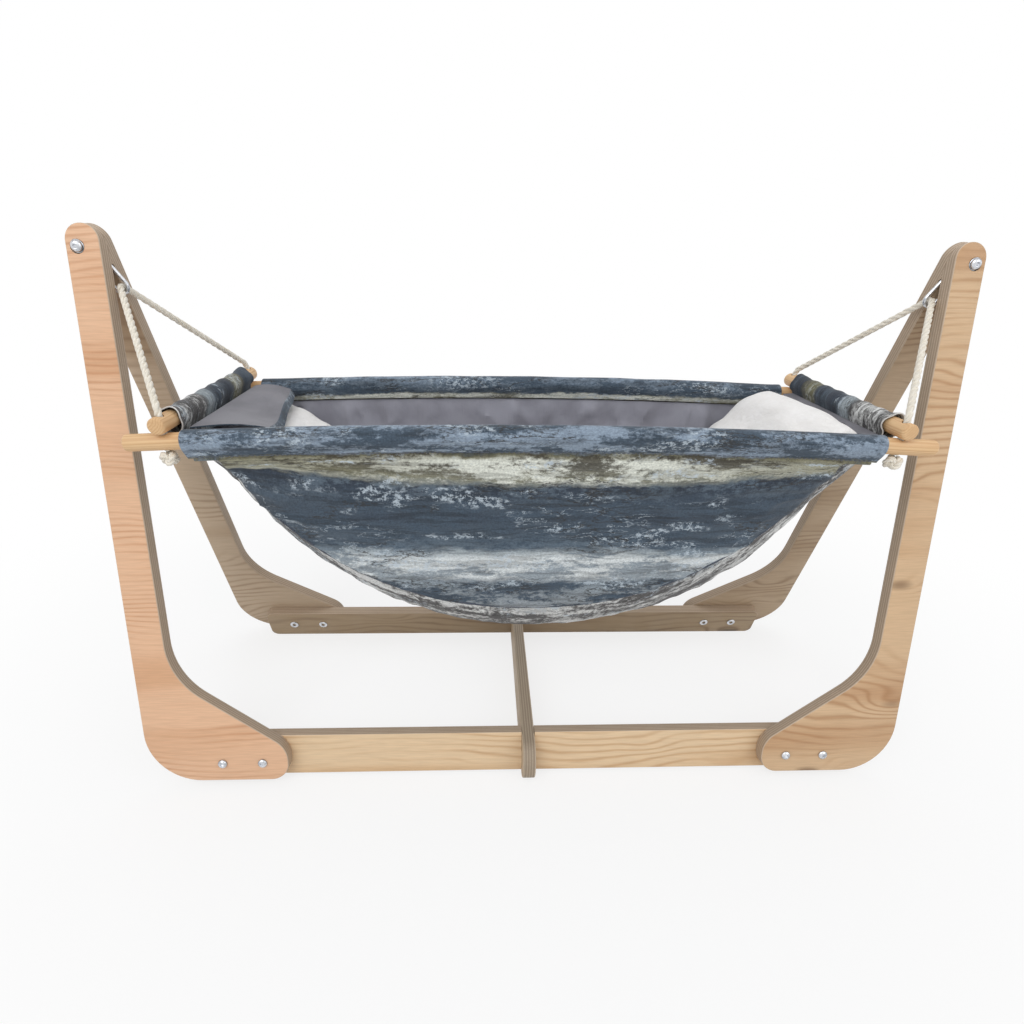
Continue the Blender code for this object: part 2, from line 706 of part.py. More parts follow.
def make_dowel(name, points, holes, parts, cutters, material):
    dowel = settle(tube_curve(name, points, DOWEL_RADIUS, 5, parts), parts, material)
    shade(dowel.data, 50)
    ease = dowel.modifiers.new("eased_ends", "BEVEL")
    ease.width = DOWEL_END_CHAMFER
    ease.segments = 1
    ease.angle_limit = math.radians(60)
    for index, (x, y) in enumerate(holes):
        place = Matrix.Translation((x, y, points[0][2]))
        cut(dowel, round_cutter(f"{name}_rope_hole_{index}", (ROPE_DIAMETER + ROPE_HOLE_CLEARANCE) / 2,
                                3 * DOWEL_DIAMETER, place, cutters))
    return dowel


# Sling
def grid_mesh(columns, rows, place):
    """A bmesh grid of columns by rows faces, its points at place(column, row)."""
    bm = bmesh.new()
    bmesh.ops.create_grid(bm, x_segments=columns, y_segments=rows, size=1.0)
    for vert in bm.verts:
        column = round((vert.co.x + 1) / 2 * columns)
        row = round((vert.co.y + 1) / 2 * rows)
        vert.co = place(column, row)
    return bm


def thickened(name, bm, thickness, start, parts, material):
    """A closed cloth of a thickness, begun at a distance from the surface on its
    normal side; a negative start puts the cloth on the other side."""
    bmesh.ops.remove_doubles(bm, verts=bm.verts, dist=0.00001)
    mesh = mesh_from_bmesh(name, bm)
    surface = link_mesh(name, mesh, parts)
    solidify = surface.modifiers.new("cloth", "SOLIDIFY")
    solidify.thickness = thickness
    solidify.offset = 1 + 2 * start / thickness
    solidify.use_even_offset = True
    cloth = settle(surface, parts, material)
    shade(cloth.data, 50)
    return cloth


def sleeve_section(row):
    """(sideways, down) of the sleeve's inner face, from its fold all the way round."""
    radius = DOWEL_RADIUS + SLEEVE_CLEARANCE
    fold = SLEEVE_DROP / (1 + SLEEVE_THICKNESS / radius)
    if row in (0, SLEEVE_SIDES):
        return 0.0, fold
    spread = math.acos(radius / fold)
    angle = (math.pi - spread) * ((row - 1) / (SLEEVE_SIDES - 2) * 2 - 1)
    return radius * math.sin(angle), -radius * math.cos(angle)


def make_long_sleeve(name, side, parts, material):
    def place(column, row):
        sideways, down = sleeve_section(row)
        x = LONG_SLEEVE_HALF_LENGTH * (2 * column / SLEEVE_STATIONS - 1)
        return Vector((x, side * FRAME_HALF_WIDTH + sideways, LONG_DOWEL_Z + bow(x) - down))

    grid = grid_mesh(SLEEVE_STATIONS, SLEEVE_SIDES, place)
    return thickened(name, grid, SLEEVE_THICKNESS, 0, parts, material)


def make_short_sleeve(name, hand, parts, material):
    def place(column, row):
        sideways, down = sleeve_section(row)
        y = SHORT_SLEEVE_HALF_LENGTH * (column - 1)
        return Vector((hand * FRAME_HALF_LENGTH - sideways, y, SHORT_DOWEL_Z - down))

    return thickened(name, grid_mesh(2, SLEEVE_SIDES, place), SLEEVE_THICKNESS, 0, parts, material)


def sling_stations():
    """Shares of the half length, closer together where the sling is steep."""
    middle = [PANEL_SHARE * math.sin(math.pi * (step / PANEL_STATIONS - 0.5))
              for step in range(PANEL_STATIONS + 1)]
    end = [1 - (1 - PANEL_SHARE) * (1 - step / END_STATIONS) ** 2.2
           for step in range(1, END_STATIONS + 1)]
    return [-share for share in reversed(end)] + middle + end


def swell(share, fullness):
    """Depth of a hanging curve as a share of its greatest depth."""
    return max(1 - abs(share) ** BELLY_POWER, 0.0) ** fullness


def keel(s):
    """(x, z) of the belly strip's middle line at s in -1..1 along the hammock."""
    fullness = BELLY_FULLNESS_RIGHT if s > 0 else BELLY_FULLNESS_LEFT
    x = FRAME_HALF_LENGTH * s + BELLY_SHIFT * (1 - s * s)
    return x, SHORT_SEAM_Z - FIT - BELLY_DEPTH * swell(s, fullness)


def rim_z(x):
    """Height of the side panels' upper edges, just under the long sleeves."""
    return LONG_SEAM_Z + bow(x) - FIT


def edge_z(x):
    """Height of the strip's long edges, which are the side panels' lower seams."""
    share = (x - SEAM_SHIFT) / SEAM_HALF_LENGTH
    top = rim_z(x) + (SHORT_SEAM_Z - LONG_SEAM_Z) * (x / FRAME_HALF_LENGTH) ** 12
    return top - SEAM_DEPTH * swell(share, BELLY_FULLNESS_LEFT)


def strip_point(s, y):
    """A point of the belly strip's inner face at s along it and y across it."""
    x, z = keel(s)
    return Vector((x, y, z + (edge_z(x) - z) * (y / STRIP_HALF_WIDTH) ** 2))


def wall_point(s, w, side):
    """Inner face of a side panel; w runs from its upper edge, 0, to its seam, 1."""
    x, _ = keel(s)
    top, bottom = rim_z(x), edge_z(x)
    y = FRAME_HALF_WIDTH + (STRIP_HALF_WIDTH - FRAME_HALF_WIDTH) * w
    y += WALL_BULGE * math.sin(math.pi * w)
    return Vector((x, side * y, top + (bottom - top) * w))


def strip_grid(stations, seam_gap):
    half_width = STRIP_HALF_WIDTH - seam_gap

    def place(column, row):
        return strip_point(stations[column], half_width * (2 * row / STRIP_COLUMNS - 1))

    return grid_mesh(len(stations) - 1, STRIP_COLUMNS, place)


def wall_grid(stations, side, seam_gap):
    def place(column, row):
        s = stations[column]
        x, _ = keel(s)
        share = row / WALL_ROWS if side > 0 else 1 - row / WALL_ROWS
        reach = 1 - seam_gap / (rim_z(x) - edge_z(x))
        return wall_point(s, (1 - share) * reach, side)

    return grid_mesh(len(stations) - 1, WALL_ROWS, place)


def panel_stations():
    return [s for s in sling_stations() if abs(s) <= PANEL_SHARE + 0.0001]


def make_belly_strip(parts, material):
    grid = strip_grid(sling_stations(), SEAM_GAP)
    return thickened("belly_strip", grid, CLOTH_THICKNESS, -CLOTH_THICKNESS, parts, material)


def make_side_panel(name, side, parts, material):
    grid = wall_grid(panel_stations(), side, SEAM_GAP)
    return thickened(name, grid, CLOTH_THICKNESS, -CLOTH_THICKNESS, parts, material)


def make_lining(parts, material):
    """One cloth inside the strip and both side panels, of the same points as they are."""
    bm = strip_grid(sling_stations()[1:-1], 0)
    for side in (-1, 1):
        wall = wall_grid(panel_stations(), side, 0)
        mesh = mesh_from_bmesh("lining_wall", wall)
        bm.from_mesh(mesh)
        bpy.data.meshes.remove(mesh)
    return thickened("lining", bm, LINING_THICKNESS, LAYER_GAP, parts, material)


# Plush mat
def above_strip(s, y, height):
    """The point at a height over the belly strip's inner face, square to it."""
    step_s, step_y = 0.003, 0.001
    along = strip_point(min(s + step_s, 1), y) - strip_point(max(s - step_s, -1), y)
    across = strip_point(s, y + step_y) - strip_point(s, y - step_y)
    return strip_point(s, y) + along.cross(across).normalized() * height


def mat_ring(s):
    """Closed ring of points round the mat at s along the strip."""
    reach = min(s - MAT_LEFT_END, MAT_RIGHT_END - s) * FRAME_HALF_LENGTH / MAT_END_ROUNDING
    fullness = (1 - (1 - min(reach, 1)) ** 3) ** 0.5
    under = LAYER_GAP + LINING_THICKNESS + MAT_GAP
    half_width = MAT_HALF_WIDTH * (0.8 + 0.2 * fullness)
    height = MAT_THICKNESS * fullness
    ring = []
    for share in (-1, -0.8, -0.53, -0.265, 0, 0.265, 0.53, 0.8, 1):
        ring.append(above_strip(s, share * half_width, under + 0.15 * height * share ** 6))
    for share in (0.93, 0.7, 0.35, 0, -0.35, -0.7, -0.93):
        crown = 0.15 + 0.85 * (1 - share ** 6) ** 0.5
        ring.append(above_strip(s, share * half_width, under + height * crown))
    return ring


def mat_stations():
    """The sling's own stations, with more of them where the mat's ends are rounded."""
    rounding = MAT_END_ROUNDING / FRAME_HALF_LENGTH
    left, right = MAT_LEFT_END + rounding, MAT_RIGHT_END - rounding
    ends = [(0.02 + 0.98 * step / MAT_END_STEPS) ** 2 * rounding for step in range(MAT_END_STEPS)]
    middle = [s for s in sling_stations() if left <= s <= right]
    return ([MAT_LEFT_END + share for share in ends] + middle
            + [MAT_RIGHT_END - share for share in reversed(ends)])


def loft(name, rings, parts, material):
    """A closed solid through rings of equal count, with a cap at each end."""
    bm = bmesh.new()
    loops = [[bm.verts.new(point) for point in ring] for ring in rings]
    count = len(loops[0])
    for first, second in zip(loops, loops[1:]):
        for index in range(count):
            following = (index + 1) % count
            bm.faces.new((first[index], first[following], second[following], second[index]))
    bm.faces.new(loops[0])
    bm.faces.new(loops[-1])
    bmesh.ops.recalc_face_normals(bm, faces=bm.faces)
    mesh = mesh_from_bmesh(name, bm)
    shade(mesh, 60)
    return link_mesh(name, mesh, parts, material=material)


def make_mat(parts, material):
    return loft("plush_mat", [mat_ring(s) for s in mat_stations()], parts, material)


# Assembly
def make_empty(name, place, collection):
    empty = bpy.data.objects.new(name, None)
    collection.objects.link(empty)
    empty.matrix_world = place if isinstance(place, Matrix) else Matrix.Translation(place)
    return empty


def build_stand(parts, cutters):
    """Everything that stands still: plywood, fasteners and the two hanging links."""
    steel = make_material("bright_steel", (0.62, 0.63, 0.65), 0.25, 1.0)
    tints = {"leg_front_left": (0.66, 0.42, 0.27), "leg_front_right": (0.60, 0.41, 0.25),
             "leg_rear_left": (0.42, 0.33, 0.22), "leg_rear_right": (0.42, 0.33, 0.22)}
    for name, tint in tints.items():
        hand = 1 if name.endswith("right") else -1
        make_leg(name, "rear" in name, hand, parts, cutters, make_material(name + "_ply", tint, 0.6))
    make_rail("rail_front", False, parts, cutters, make_material("rail_front_ply", (0.66, 0.50, 0.30), 0.6))
    make_rail("rail_rear", True, parts, cutters, make_material("rail_rear_ply", (0.42, 0.33, 0.22), 0.6))
    make_brace(parts, cutters, make_material("brace_ply", (0.50, 0.40, 0.27), 0.6))
    make_foot_fasteners(parts, cutters, steel)
    make_apex_fasteners(parts, cutters, steel)
    make_link("hanging_link_left", -1, parts, steel)
    make_link("hanging_link_right", 1, parts, steel)


def build_hammock(parts, cutters):
    """Everything that swings: ropes, dowels, sling, lining and mat."""
    cotton = make_material("cotton_rope", (0.80, 0.74, 0.62), 0.9)
    make_rope("rope_left", -1, parts, cotton)
    make_rope("rope_right", 1, parts, cotton)
    make_knots(parts, cotton)

    wood = make_material("dowel_wood", (0.76, 0.54, 0.29), 0.55)
    x, y = FRAME_HALF_LENGTH, FRAME_HALF_WIDTH
    make_dowel("dowel_front", long_dowel_points(-1), [(-x, -y), (x, -y)], parts, cutters, wood)
    make_dowel("dowel_rear", long_dowel_points(1), [(-x, y), (x, y)], parts, cutters, wood)
    make_dowel("dowel_left", short_dowel_points(-1), [(-x, -y), (-x, y)], parts, cutters, wood)
    make_dowel("dowel_right", short_dowel_points(1), [(x, -y), (x, y)], parts, cutters, wood)

    print_cloth = make_material("printed_cloth", (0.055, 0.085, 0.12), 0.85)
    make_long_sleeve("sleeve_front", -1, parts, print_cloth)
    make_long_sleeve("sleeve_rear", 1, parts, print_cloth)
    make_short_sleeve("sleeve_left", -1, parts, print_cloth)
    make_short_sleeve("sleeve_right", 1, parts, print_cloth)
    make_side_panel("side_panel_front", -1, parts, print_cloth)
    make_side_panel("side_panel_rear", 1, parts, print_cloth)
    make_belly_strip(parts, make_material("mottled_strip_cloth", (0.42, 0.43, 0.42), 0.85))
    make_lining(parts, make_material("grey_lining", (0.14, 0.135, 0.15), 0.9))
    make_mat(parts, make_material("white_plush", (0.86, 0.84, 0.81), 0.95))


def main():
    clear_scene()
    parts = make_collection("cat_hammock")
    cutters = make_collection("cutters")
    build_stand(parts, cutters)
    still = set(parts.objects)
    build_hammock(parts, cutters)
    swing = make_empty("swing_axis", (0, 0, SWING_Z), parts)
    bpy.context.view_layer.update()
    for obj in parts.objects:
        if obj.type == "MESH" and obj not in still:
            keep_world(obj, swing)
    print(f"swing axis at z = {SWING_Z:.5f}, links meet the rope at x = {SWING_X:.5f}")


main()
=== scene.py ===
"""Cat hammock dressed for its picture: plywood stand, steel fasteners, twisted ropes, a
frame of four dowels, a printed sling with a grey lining, and a loose white plush mat."""
import logging
import math
from collections.abc import Callable
from dataclasses import dataclass, field
from enum import Enum
from functools import reduce

import bmesh
import bpy
import numpy as np
from mathutils import Matrix, Vector, noise


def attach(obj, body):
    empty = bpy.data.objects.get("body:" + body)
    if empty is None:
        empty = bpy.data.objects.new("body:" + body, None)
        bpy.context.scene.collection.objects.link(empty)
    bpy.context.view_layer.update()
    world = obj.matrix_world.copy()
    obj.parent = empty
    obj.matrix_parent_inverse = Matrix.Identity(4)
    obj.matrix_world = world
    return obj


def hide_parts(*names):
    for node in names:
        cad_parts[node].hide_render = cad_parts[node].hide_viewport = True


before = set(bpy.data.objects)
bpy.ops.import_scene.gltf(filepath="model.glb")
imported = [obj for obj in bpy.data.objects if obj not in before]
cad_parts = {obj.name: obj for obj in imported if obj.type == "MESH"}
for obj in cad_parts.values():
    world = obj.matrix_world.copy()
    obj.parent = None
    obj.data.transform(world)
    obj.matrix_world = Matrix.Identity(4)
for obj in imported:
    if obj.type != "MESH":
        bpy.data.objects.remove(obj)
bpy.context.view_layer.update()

LOG = logging.getLogger("cat_hammock")
Colour = tuple[float, float, float, float]
Socket = bpy.types.NodeSocket
Value = float | tuple | Socket
Stops = tuple[tuple[float, Colour | float], ...]


class Body(Enum):
    """The two bodies of the part that a piece may ride on."""

    STAND = "stand"
    HAMMOCK = "hammock"


class End(Enum):
    """An end of the hammock along X."""

    LEFT = -1
    RIGHT = 1


class Side(Enum):
    """A side of the hammock along Y."""

    FRONT = -1
    REAR = 1


@dataclass(frozen=True)
class Layout:
    """Sizes that several sub-assemblies share, in metres, as the part has them."""

    half_length: float = 0.344
    half_width: float = 0.104
    ply: float = 0.015
    lean: float = math.radians(14.5)
    fit: float = 0.0003
    leg_outer_top: float = 0.4415
    leg_outer_foot: float = 0.4345
    leg_top: float = 0.590
    apex_bolt_below_top: float = 0.0185
    apex_bolt_inset: float = 0.011
    apex_meeting_drop: float = 0.012
    frame_drop: float = 0.141
    dowel_radius: float = 0.008
    dowel_bow: float = 0.008
    rope_radius: float = 0.0035
    link_wire: float = 0.0035
    link_reach: float = 0.042
    link_inner_radius: float = 0.0043
    bolt_radius: float = 0.003
    rope_gap: float = 0.0006
    bend_radius: float = 0.010
    sleeve_drop: float = 0.018

    @property
    def panel_rise(self) -> float:
        """Height of a leaning panel's lower outer edge."""
        return 2 * self.ply * math.sin(self.lean)

    @property
    def apex_height(self) -> float:
        """Height of the apex bolt up a leaning panel."""
        return self.leg_top - self.apex_bolt_below_top

    @property
    def foot_half_depth(self) -> float:
        """Distance of a panel's lower outer edge from the middle plane."""
        meeting = self.apex_height - self.apex_meeting_drop
        return meeting * math.sin(self.lean) + self.ply * math.cos(self.lean)

    @property
    def apex_x(self) -> float:
        """Distance of the apex bolts from the middle along X."""
        return self.leg_outer_top - self.apex_bolt_inset

    @property
    def apex_z(self) -> float:
        """Height of the apex bolts."""
        down = self.ply * math.sin(self.lean) / 2
        return self.apex_height * math.cos(self.lean) + self.panel_rise - down

    @property
    def apex_face_y(self) -> float:
        """Distance of a panel's outer face from the middle plane beside the apex bolts."""
        return self.foot_half_depth - (self.apex_z - self.panel_rise) * math.tan(self.lean)

    @property
    def short_dowel_z(self) -> float:
        """Height of the short dowels' axes."""
        return self.apex_z - self.frame_drop

    @property
    def long_dowel_z(self) -> float:
        """Height of the long dowels' axes where the ropes pass through them."""
        return self.short_dowel_z - 2 * self.dowel_radius - self.fit

    @property
    def kink_z(self) -> float:
        """Height at which the ropes turn towards their links."""
        return self.short_dowel_z + self.dowel_radius + self.bend_radius / 2

    @property
    def rope_over_wire(self) -> float:
        """Distance of the rope's middle line from the middle of the link's wire."""
        return self.link_wire / 2 + self.rope_gap + self.rope_radius

    @property
    def pull(self) -> Vector:
        """Unit (x, z) direction in which the right rope pulls its link."""
        return Vector((self.half_length - self.apex_x, self.kink_z - self.apex_z)).normalized()

    def panel_matrix(self, side: Side) -> Matrix:
        """Frame of a leaning panel: x along its rail, y up, z out of its outer face.

        Args:
            side: The front or the rear panel.

        Returns:
            The panel's frame in the part's own one.
        """
        s, c = math.sin(self.lean), math.cos(self.lean)
        axes = Matrix(((1, 0, 0, 0), (0, s, -c, 0), (0, c, s, 0), (0, 0, 0, 1)))
        front = Matrix.Translation((0, -self.foot_half_depth, self.panel_rise)) @ axes
        return Matrix.Rotation(math.pi, 4, "Z") @ front if side is Side.REAR else front

    def bow(self, x: float) -> float:
        """How far the long dowels arch above their crossings at x."""
        return self.dowel_bow * (1 - (x / self.half_length) ** 2)

    def link_outline(self, wider: float, steps: int) -> list[Vector]:
        """Outline in a link's frame, wider by so much than the middle line of its wire.

        Args:
            wider: Distance outside the middle line.
            steps: Steps round each of its half rings.

        Returns:
            The outline's points.
        """
        middle = self.link_inner_radius + self.link_wire / 2
        near = middle - (self.bolt_radius + self.fit + self.link_wire / 2)
        far = self.link_reach + self.rope_over_wire - middle
        return stadium(near, far, middle + wider, steps)

    def link_frame(self, end: End) -> Matrix:
        """Frame of a link: x towards the rope, y across the link, z along Y.

        Args:
            end: The left or the right link.

        Returns:
            The link's frame in the part's own one.
        """
        along = Vector((end.value * self.pull.x, 0, self.pull.y))
        normal = Vector((0, 1, 0))
        rotation = Matrix((along, normal.cross(along), normal)).transposed().to_4x4()
        return Matrix.Translation((end.value * self.apex_x, 0, self.apex_z)) @ rotation


LAYOUT = Layout()


def srgb(red: int, green: int, blue: int) -> Colour:
    """The colour that shaders take for a screen colour.

    Args:
        red: Red from 0 to 255.
        green: Green from 0 to 255.
        blue: Blue from 0 to 255.

    Returns:
        The linear colour.
    """
    values = [value / 255 for value in (red, green, blue)]
    linear = [v / 12.92 if v <= 0.04045 else ((v + 0.055) / 1.055) ** 2.4 for v in values]
    return (linear[0], linear[1], linear[2], 1.0)


def darker(colour: Colour, share: float) -> Colour:
    """The colour with its brightness cut to a share."""
    return (colour[0] * share, colour[1] * share, colour[2] * share, 1.0)


class Sketch:
    """A node tree with short ways to add nodes and join them."""

    def __init__(self, tree: bpy.types.NodeTree) -> None:
        """Keeps the tree that the nodes go into."""
        self.tree = tree

    def feed(self, node: bpy.types.Node, inputs: dict[str | int, Value]) -> None:
        """Joins sockets to a node's inputs, or sets their values.

        Args:
            node: The node.
            inputs: Sockets to join, or values to set, by input name or index.
        """
        for key, value in inputs.items():
            if isinstance(value, bpy.types.NodeSocket):
                self.tree.links.new(value, node.inputs[key])
            else:
                node.inputs[key].default_value = value

    def node(self, kind: str, inputs: dict[str | int, Value] | None = None,
             **settings: object) -> bpy.types.Node:
        """Adds a node.

        Args:
            kind: Node type without its ShaderNode prefix.
            inputs: Sockets to join, or values to set, by input name or index.
            **settings: Properties of the node.

        Returns:
            The new node.
        """
        node = self.tree.nodes.new("ShaderNode" + kind)
        for key, value in settings.items():
            setattr(node, key, value)
        self.feed(node, inputs or {})
        return node

    def math(self, operation: str, a: Value, b: Value = 0.0) -> Socket:
        """Result of a Math node on a and b."""
        return self.node("Math", {0: a, 1: b}, operation=operation).outputs[0]

    def times(self, a: Value, b: Value) -> Socket:
        """Product of a and b."""
        return self.math("MULTIPLY", a, b)

    def plus(self, first: Value, *others: Value) -> Socket:
        """Sum of two or more values."""
        return reduce(lambda total, other: self.math("ADD", total, other), others, first)

    def remap(self, value: Socket, low: float, high: float, new_low: float = 0.0,
              new_high: float = 1.0) -> Socket:
        """The value stepped smoothly from one range to another."""
        inputs = {0: value, 1: low, 2: high, 3: new_low, 4: new_high}
        return self.node("MapRange", inputs, interpolation_type="SMOOTHSTEP").outputs[0]

    def mix(self, factor: Value, a: Value, b: Value, blend: str = "MIX") -> Socket:
        """Mix of two colours by a factor."""
        node = self.node("Mix", {0: factor, 6: a, 7: b}, data_type="RGBA", blend_type=blend)
        return node.outputs[2]

    def tinted(self, colour: Socket, tint: Socket) -> Socket:
        """The colour times a number."""
        grey = self.node("CombineColor", {0: tint, 1: tint, 2: tint}).outputs[0]
        return self.mix(1.0, colour, grey, "MULTIPLY")

    def vector(self, x: Value = 0.0, y: Value = 0.0, z: Value = 0.0) -> Socket:
        """A vector from its three parts."""
        return self.node("CombineXYZ", {0: x, 1: y, 2: z}).outputs[0]

    def scaled(self, vector: Socket, scale: Value, shift: Value = (0.0, 0.0, 0.0)) -> Socket:
        """The vector times a scale, plus a shift."""
        inputs = {0: vector, 1: scale, 2: shift}
        return self.node("VectorMath", inputs, operation="MULTIPLY_ADD").outputs[0]

    def split(self, vector: Socket) -> list[Socket]:
        """The three parts of a vector."""
        return list(self.node("SeparateXYZ", {0: vector}).outputs)

    def noise(self, vector: Socket, scale: Value = 1.0, detail: float = 2.0,
              roughness: float = 0.5) -> Socket:
        """Value of a noise texture."""
        inputs = {"Vector": vector, "Scale": scale, "Detail": detail, "Roughness": roughness}
        return self.node("TexNoise", inputs).outputs[0]

    def ramp(self, value: Socket, stops: list[tuple[float, Colour]]) -> Socket:
        """Colour of a ramp at a value.

        Args:
            value: Where to read the ramp, 0 to 1.
            stops: Position and colour of each stop, in order.

        Returns:
            The colour.
        """
        node = self.node("ValToRGB", {0: value})
        elements = node.color_ramp.elements
        elements[0].position, elements[0].color = stops[0]
        elements[-1].position, elements[-1].color = stops[-1]
        for position, colour in stops[1:-1]:
            elements.new(position).color = colour
        return node.outputs[0]

    def bump(self, height: Socket, distance: float) -> Socket:
        """Normal that a height field gives."""
        return self.node("Bump", {"Height": height, "Distance": distance}).outputs[0]


# Brings places across a print, in metres, to about 0 to 1.
BAND_SCALE = 3.8


class Effects:
    """Shader node groups that the finishes share, each built when it is first asked for."""

    def __init__(self) -> None:
        """Starts with no groups."""
        self.groups: dict[str, bpy.types.NodeTree] = {}

    def place(self, sketch: Sketch, name: str, inputs: dict[str, Value]) -> dict[str, Socket]:
        """Adds a shared group to a material.

        Args:
            sketch: The material's nodes.
            name: Name of the group and of the method that draws it.
            inputs: Values for the group's inputs.

        Returns:
            The group's outputs by name.
        """
        if name not in self.groups:
            self.groups[name] = getattr(self, name)()
        node = sketch.node("Group", inputs, node_tree=self.groups[name])
        return {socket.name: socket for socket in node.outputs}

    @staticmethod
    def start(name: str, numbers: dict[str, float],
              outputs: list[str]) -> tuple[Sketch, dict[str, Socket], bpy.types.Node]:
        """Opens a group with a Vector input, number inputs and number outputs.

        Args:
            name: Name of the group.
            numbers: Number inputs and their usual values.
            outputs: Names of the outputs.

        Returns:
            The group's nodes, its inputs by name and its output node.
        """
        tree = bpy.data.node_groups.new(name, "ShaderNodeTree")
        tree.interface.new_socket("Vector", in_out="INPUT", socket_type="NodeSocketVector")
        for key, value in numbers.items():
            socket = tree.interface.new_socket(key, in_out="INPUT", socket_type="NodeSocketFloat")
            socket.default_value = value
        for key in outputs:
            tree.interface.new_socket(key, in_out="OUTPUT", socket_type="NodeSocketFloat")
        given = {socket.name: socket for socket in tree.nodes.new("NodeGroupInput").outputs}
        return Sketch(tree), given, tree.nodes.new("NodeGroupOutput")

    def grain(self) -> bpy.types.NodeTree:
        """Flat-sawn softwood: growth lines along x, darker boards, knots and fine fibre.

        Returns:
            The group's tree.
        """
        numbers = {"Seed": 0.0, "Lines": 120.0, "Waviness": 3.0, "Knots": 1.0}
        s, given, out = self.start("grain", numbers, ["Line", "Board", "Knot", "Fibre"])
        x, y, z = s.split(given["Vector"])

        def at(along: float, across: float, layer: float) -> Socket:
            """Place in the wood, stretched along and across it, on a layer of the noise."""
            deep = s.plus(s.times(given["Seed"], 7.3), layer)
            return s.vector(s.times(x, along), s.times(y, across), deep)

        cells = s.node("TexVoronoi", {"Vector": at(5.5, 13.0, 4.0), "Scale": 1.0}).outputs[0]
        near = s.times(s.remap(cells, 0.34, 0.02), given["Knots"])
        warp = s.times(s.plus(s.noise(at(3.2, 8.5, 0.0), 1.0, 1.5), -0.5), given["Waviness"])
        fine = s.times(s.noise(at(16.0, 60.0, 9.0)), 0.55)
        spacing = s.times(s.noise(at(0.6, 9.0, 14.0)), s.times(given["Waviness"], 0.4))
        phase = s.plus(s.times(y, given["Lines"]), spacing, warp, fine, s.times(near, 2.3))
        wave = s.math("SINE", s.times(phase, math.tau))
        half = s.node("Math", {0: wave, 1: 0.5, 2: 0.5}, operation="MULTIPLY_ADD").outputs[0]
        zone = s.remap(s.noise(at(4.0, 16.0, 2.0)), 0.40, 0.62, 0.05, 1.0)
        board = s.remap(s.noise(at(1.4, 17.0, 6.0), 1.0, 1.0), 0.47, 0.66)
        fibre = s.noise(s.vector(s.times(x, 45.0), s.times(y, 900.0), s.times(z, 900.0)))
        s.feed(out, {"Line": s.times(s.math("POWER", half, 3.2), zone), "Board": board,
                     "Knot": s.times(s.remap(cells, 0.13, 0.05), given["Knots"]),
                     "Fibre": fibre})
        return s.tree

    def layers(self) -> bpy.types.NodeTree:
        """Ply edge: crossed veneers through z, dark glue lines and saw fuzz.

        Returns:
            The group's tree.
        """
        s, given, out = self.start("layers", {"Per Metre": 660.0}, ["Veneer", "Glue", "Fuzz"])
        place = given["Vector"]
        wander = s.times(s.noise(place, 40.0, 1.0), 0.35)
        phase = s.plus(s.times(s.split(place)[2], given["Per Metre"]), wander)
        pair = s.math("FRACT", s.times(phase, 0.5))
        edge = s.math("ABSOLUTE", s.plus(s.math("FRACT", phase), -0.5))
        s.feed(out, {"Veneer": s.remap(pair, 0.46, 0.54), "Glue": s.remap(edge, 0.42, 0.49),
                     "Fuzz": s.noise(s.scaled(place, (900.0, 900.0, 260.0)))})
        return s.tree

    def weave(self) -> bpy.types.NodeTree:
        """Plain weave in cloth metres, with slubs where threads thicken.

        Returns:
            The group's tree.
        """
        s, given, out = self.start("weave", {"Threads": 1500.0}, ["Height", "Slub"])
        u, v, _ = s.split(given["Vector"])
        turn = s.times(given["Threads"], math.pi)
        warp, weft = [s.math("SINE", s.times(way, turn)) for way in (u, v)]
        along, across = [s.noise(s.scaled(given["Vector"], scale), 1.0, 1.0)
                         for scale in ((1400.0, 55.0, 0.0), (55.0, 1400.0, 0.0))]
        s.feed(out, {"Height": s.times(warp, weft), "Slub": s.times(along, across)})
        return s.tree

    def weathering(self) -> bpy.types.NodeTree:
        """Soft-edged bands along u with clouds, pale flecks, dark cracks and grit.

        Returns:
            The group's tree.
        """
        names = ["Band", "Cloud", "Streak", "Fleck", "Crack", "Scratch", "Grit"]
        s, given, out = self.start("weathering", {"Seed": 0.0, "Warp": 0.012}, names)
        place, warp = given["Vector"], given["Warp"]

        def field_of(along: float, across: float, detail: float, rough: float,
                     layer: float) -> Socket:
            """Noise stretched along and across the bands, on a layer of its own."""
            shift = s.vector(layer, layer * 0.7, given["Seed"])
            return s.noise(s.scaled(place, (along, across, 1.0), shift), 1.0, detail, rough)

        def lines(along: float, across: float, width: float, layer: float) -> Socket:
            """Thin wandering lines that come and go.

            Args:
                along: Scale along the bands.
                across: Scale across them.
                width: Width of the lines.
                layer: Which layer of noise they follow.

            Returns:
                Their mask.
            """
            off = s.math("ABSOLUTE", s.plus(field_of(along, across, 5.0, 0.62, layer), -0.5))
            gate = s.remap(field_of(8.0, 26.0, 2.0, 0.5, layer + 2.0), 0.49, 0.58)
            return s.times(s.remap(off, width, width * 0.25), gate)

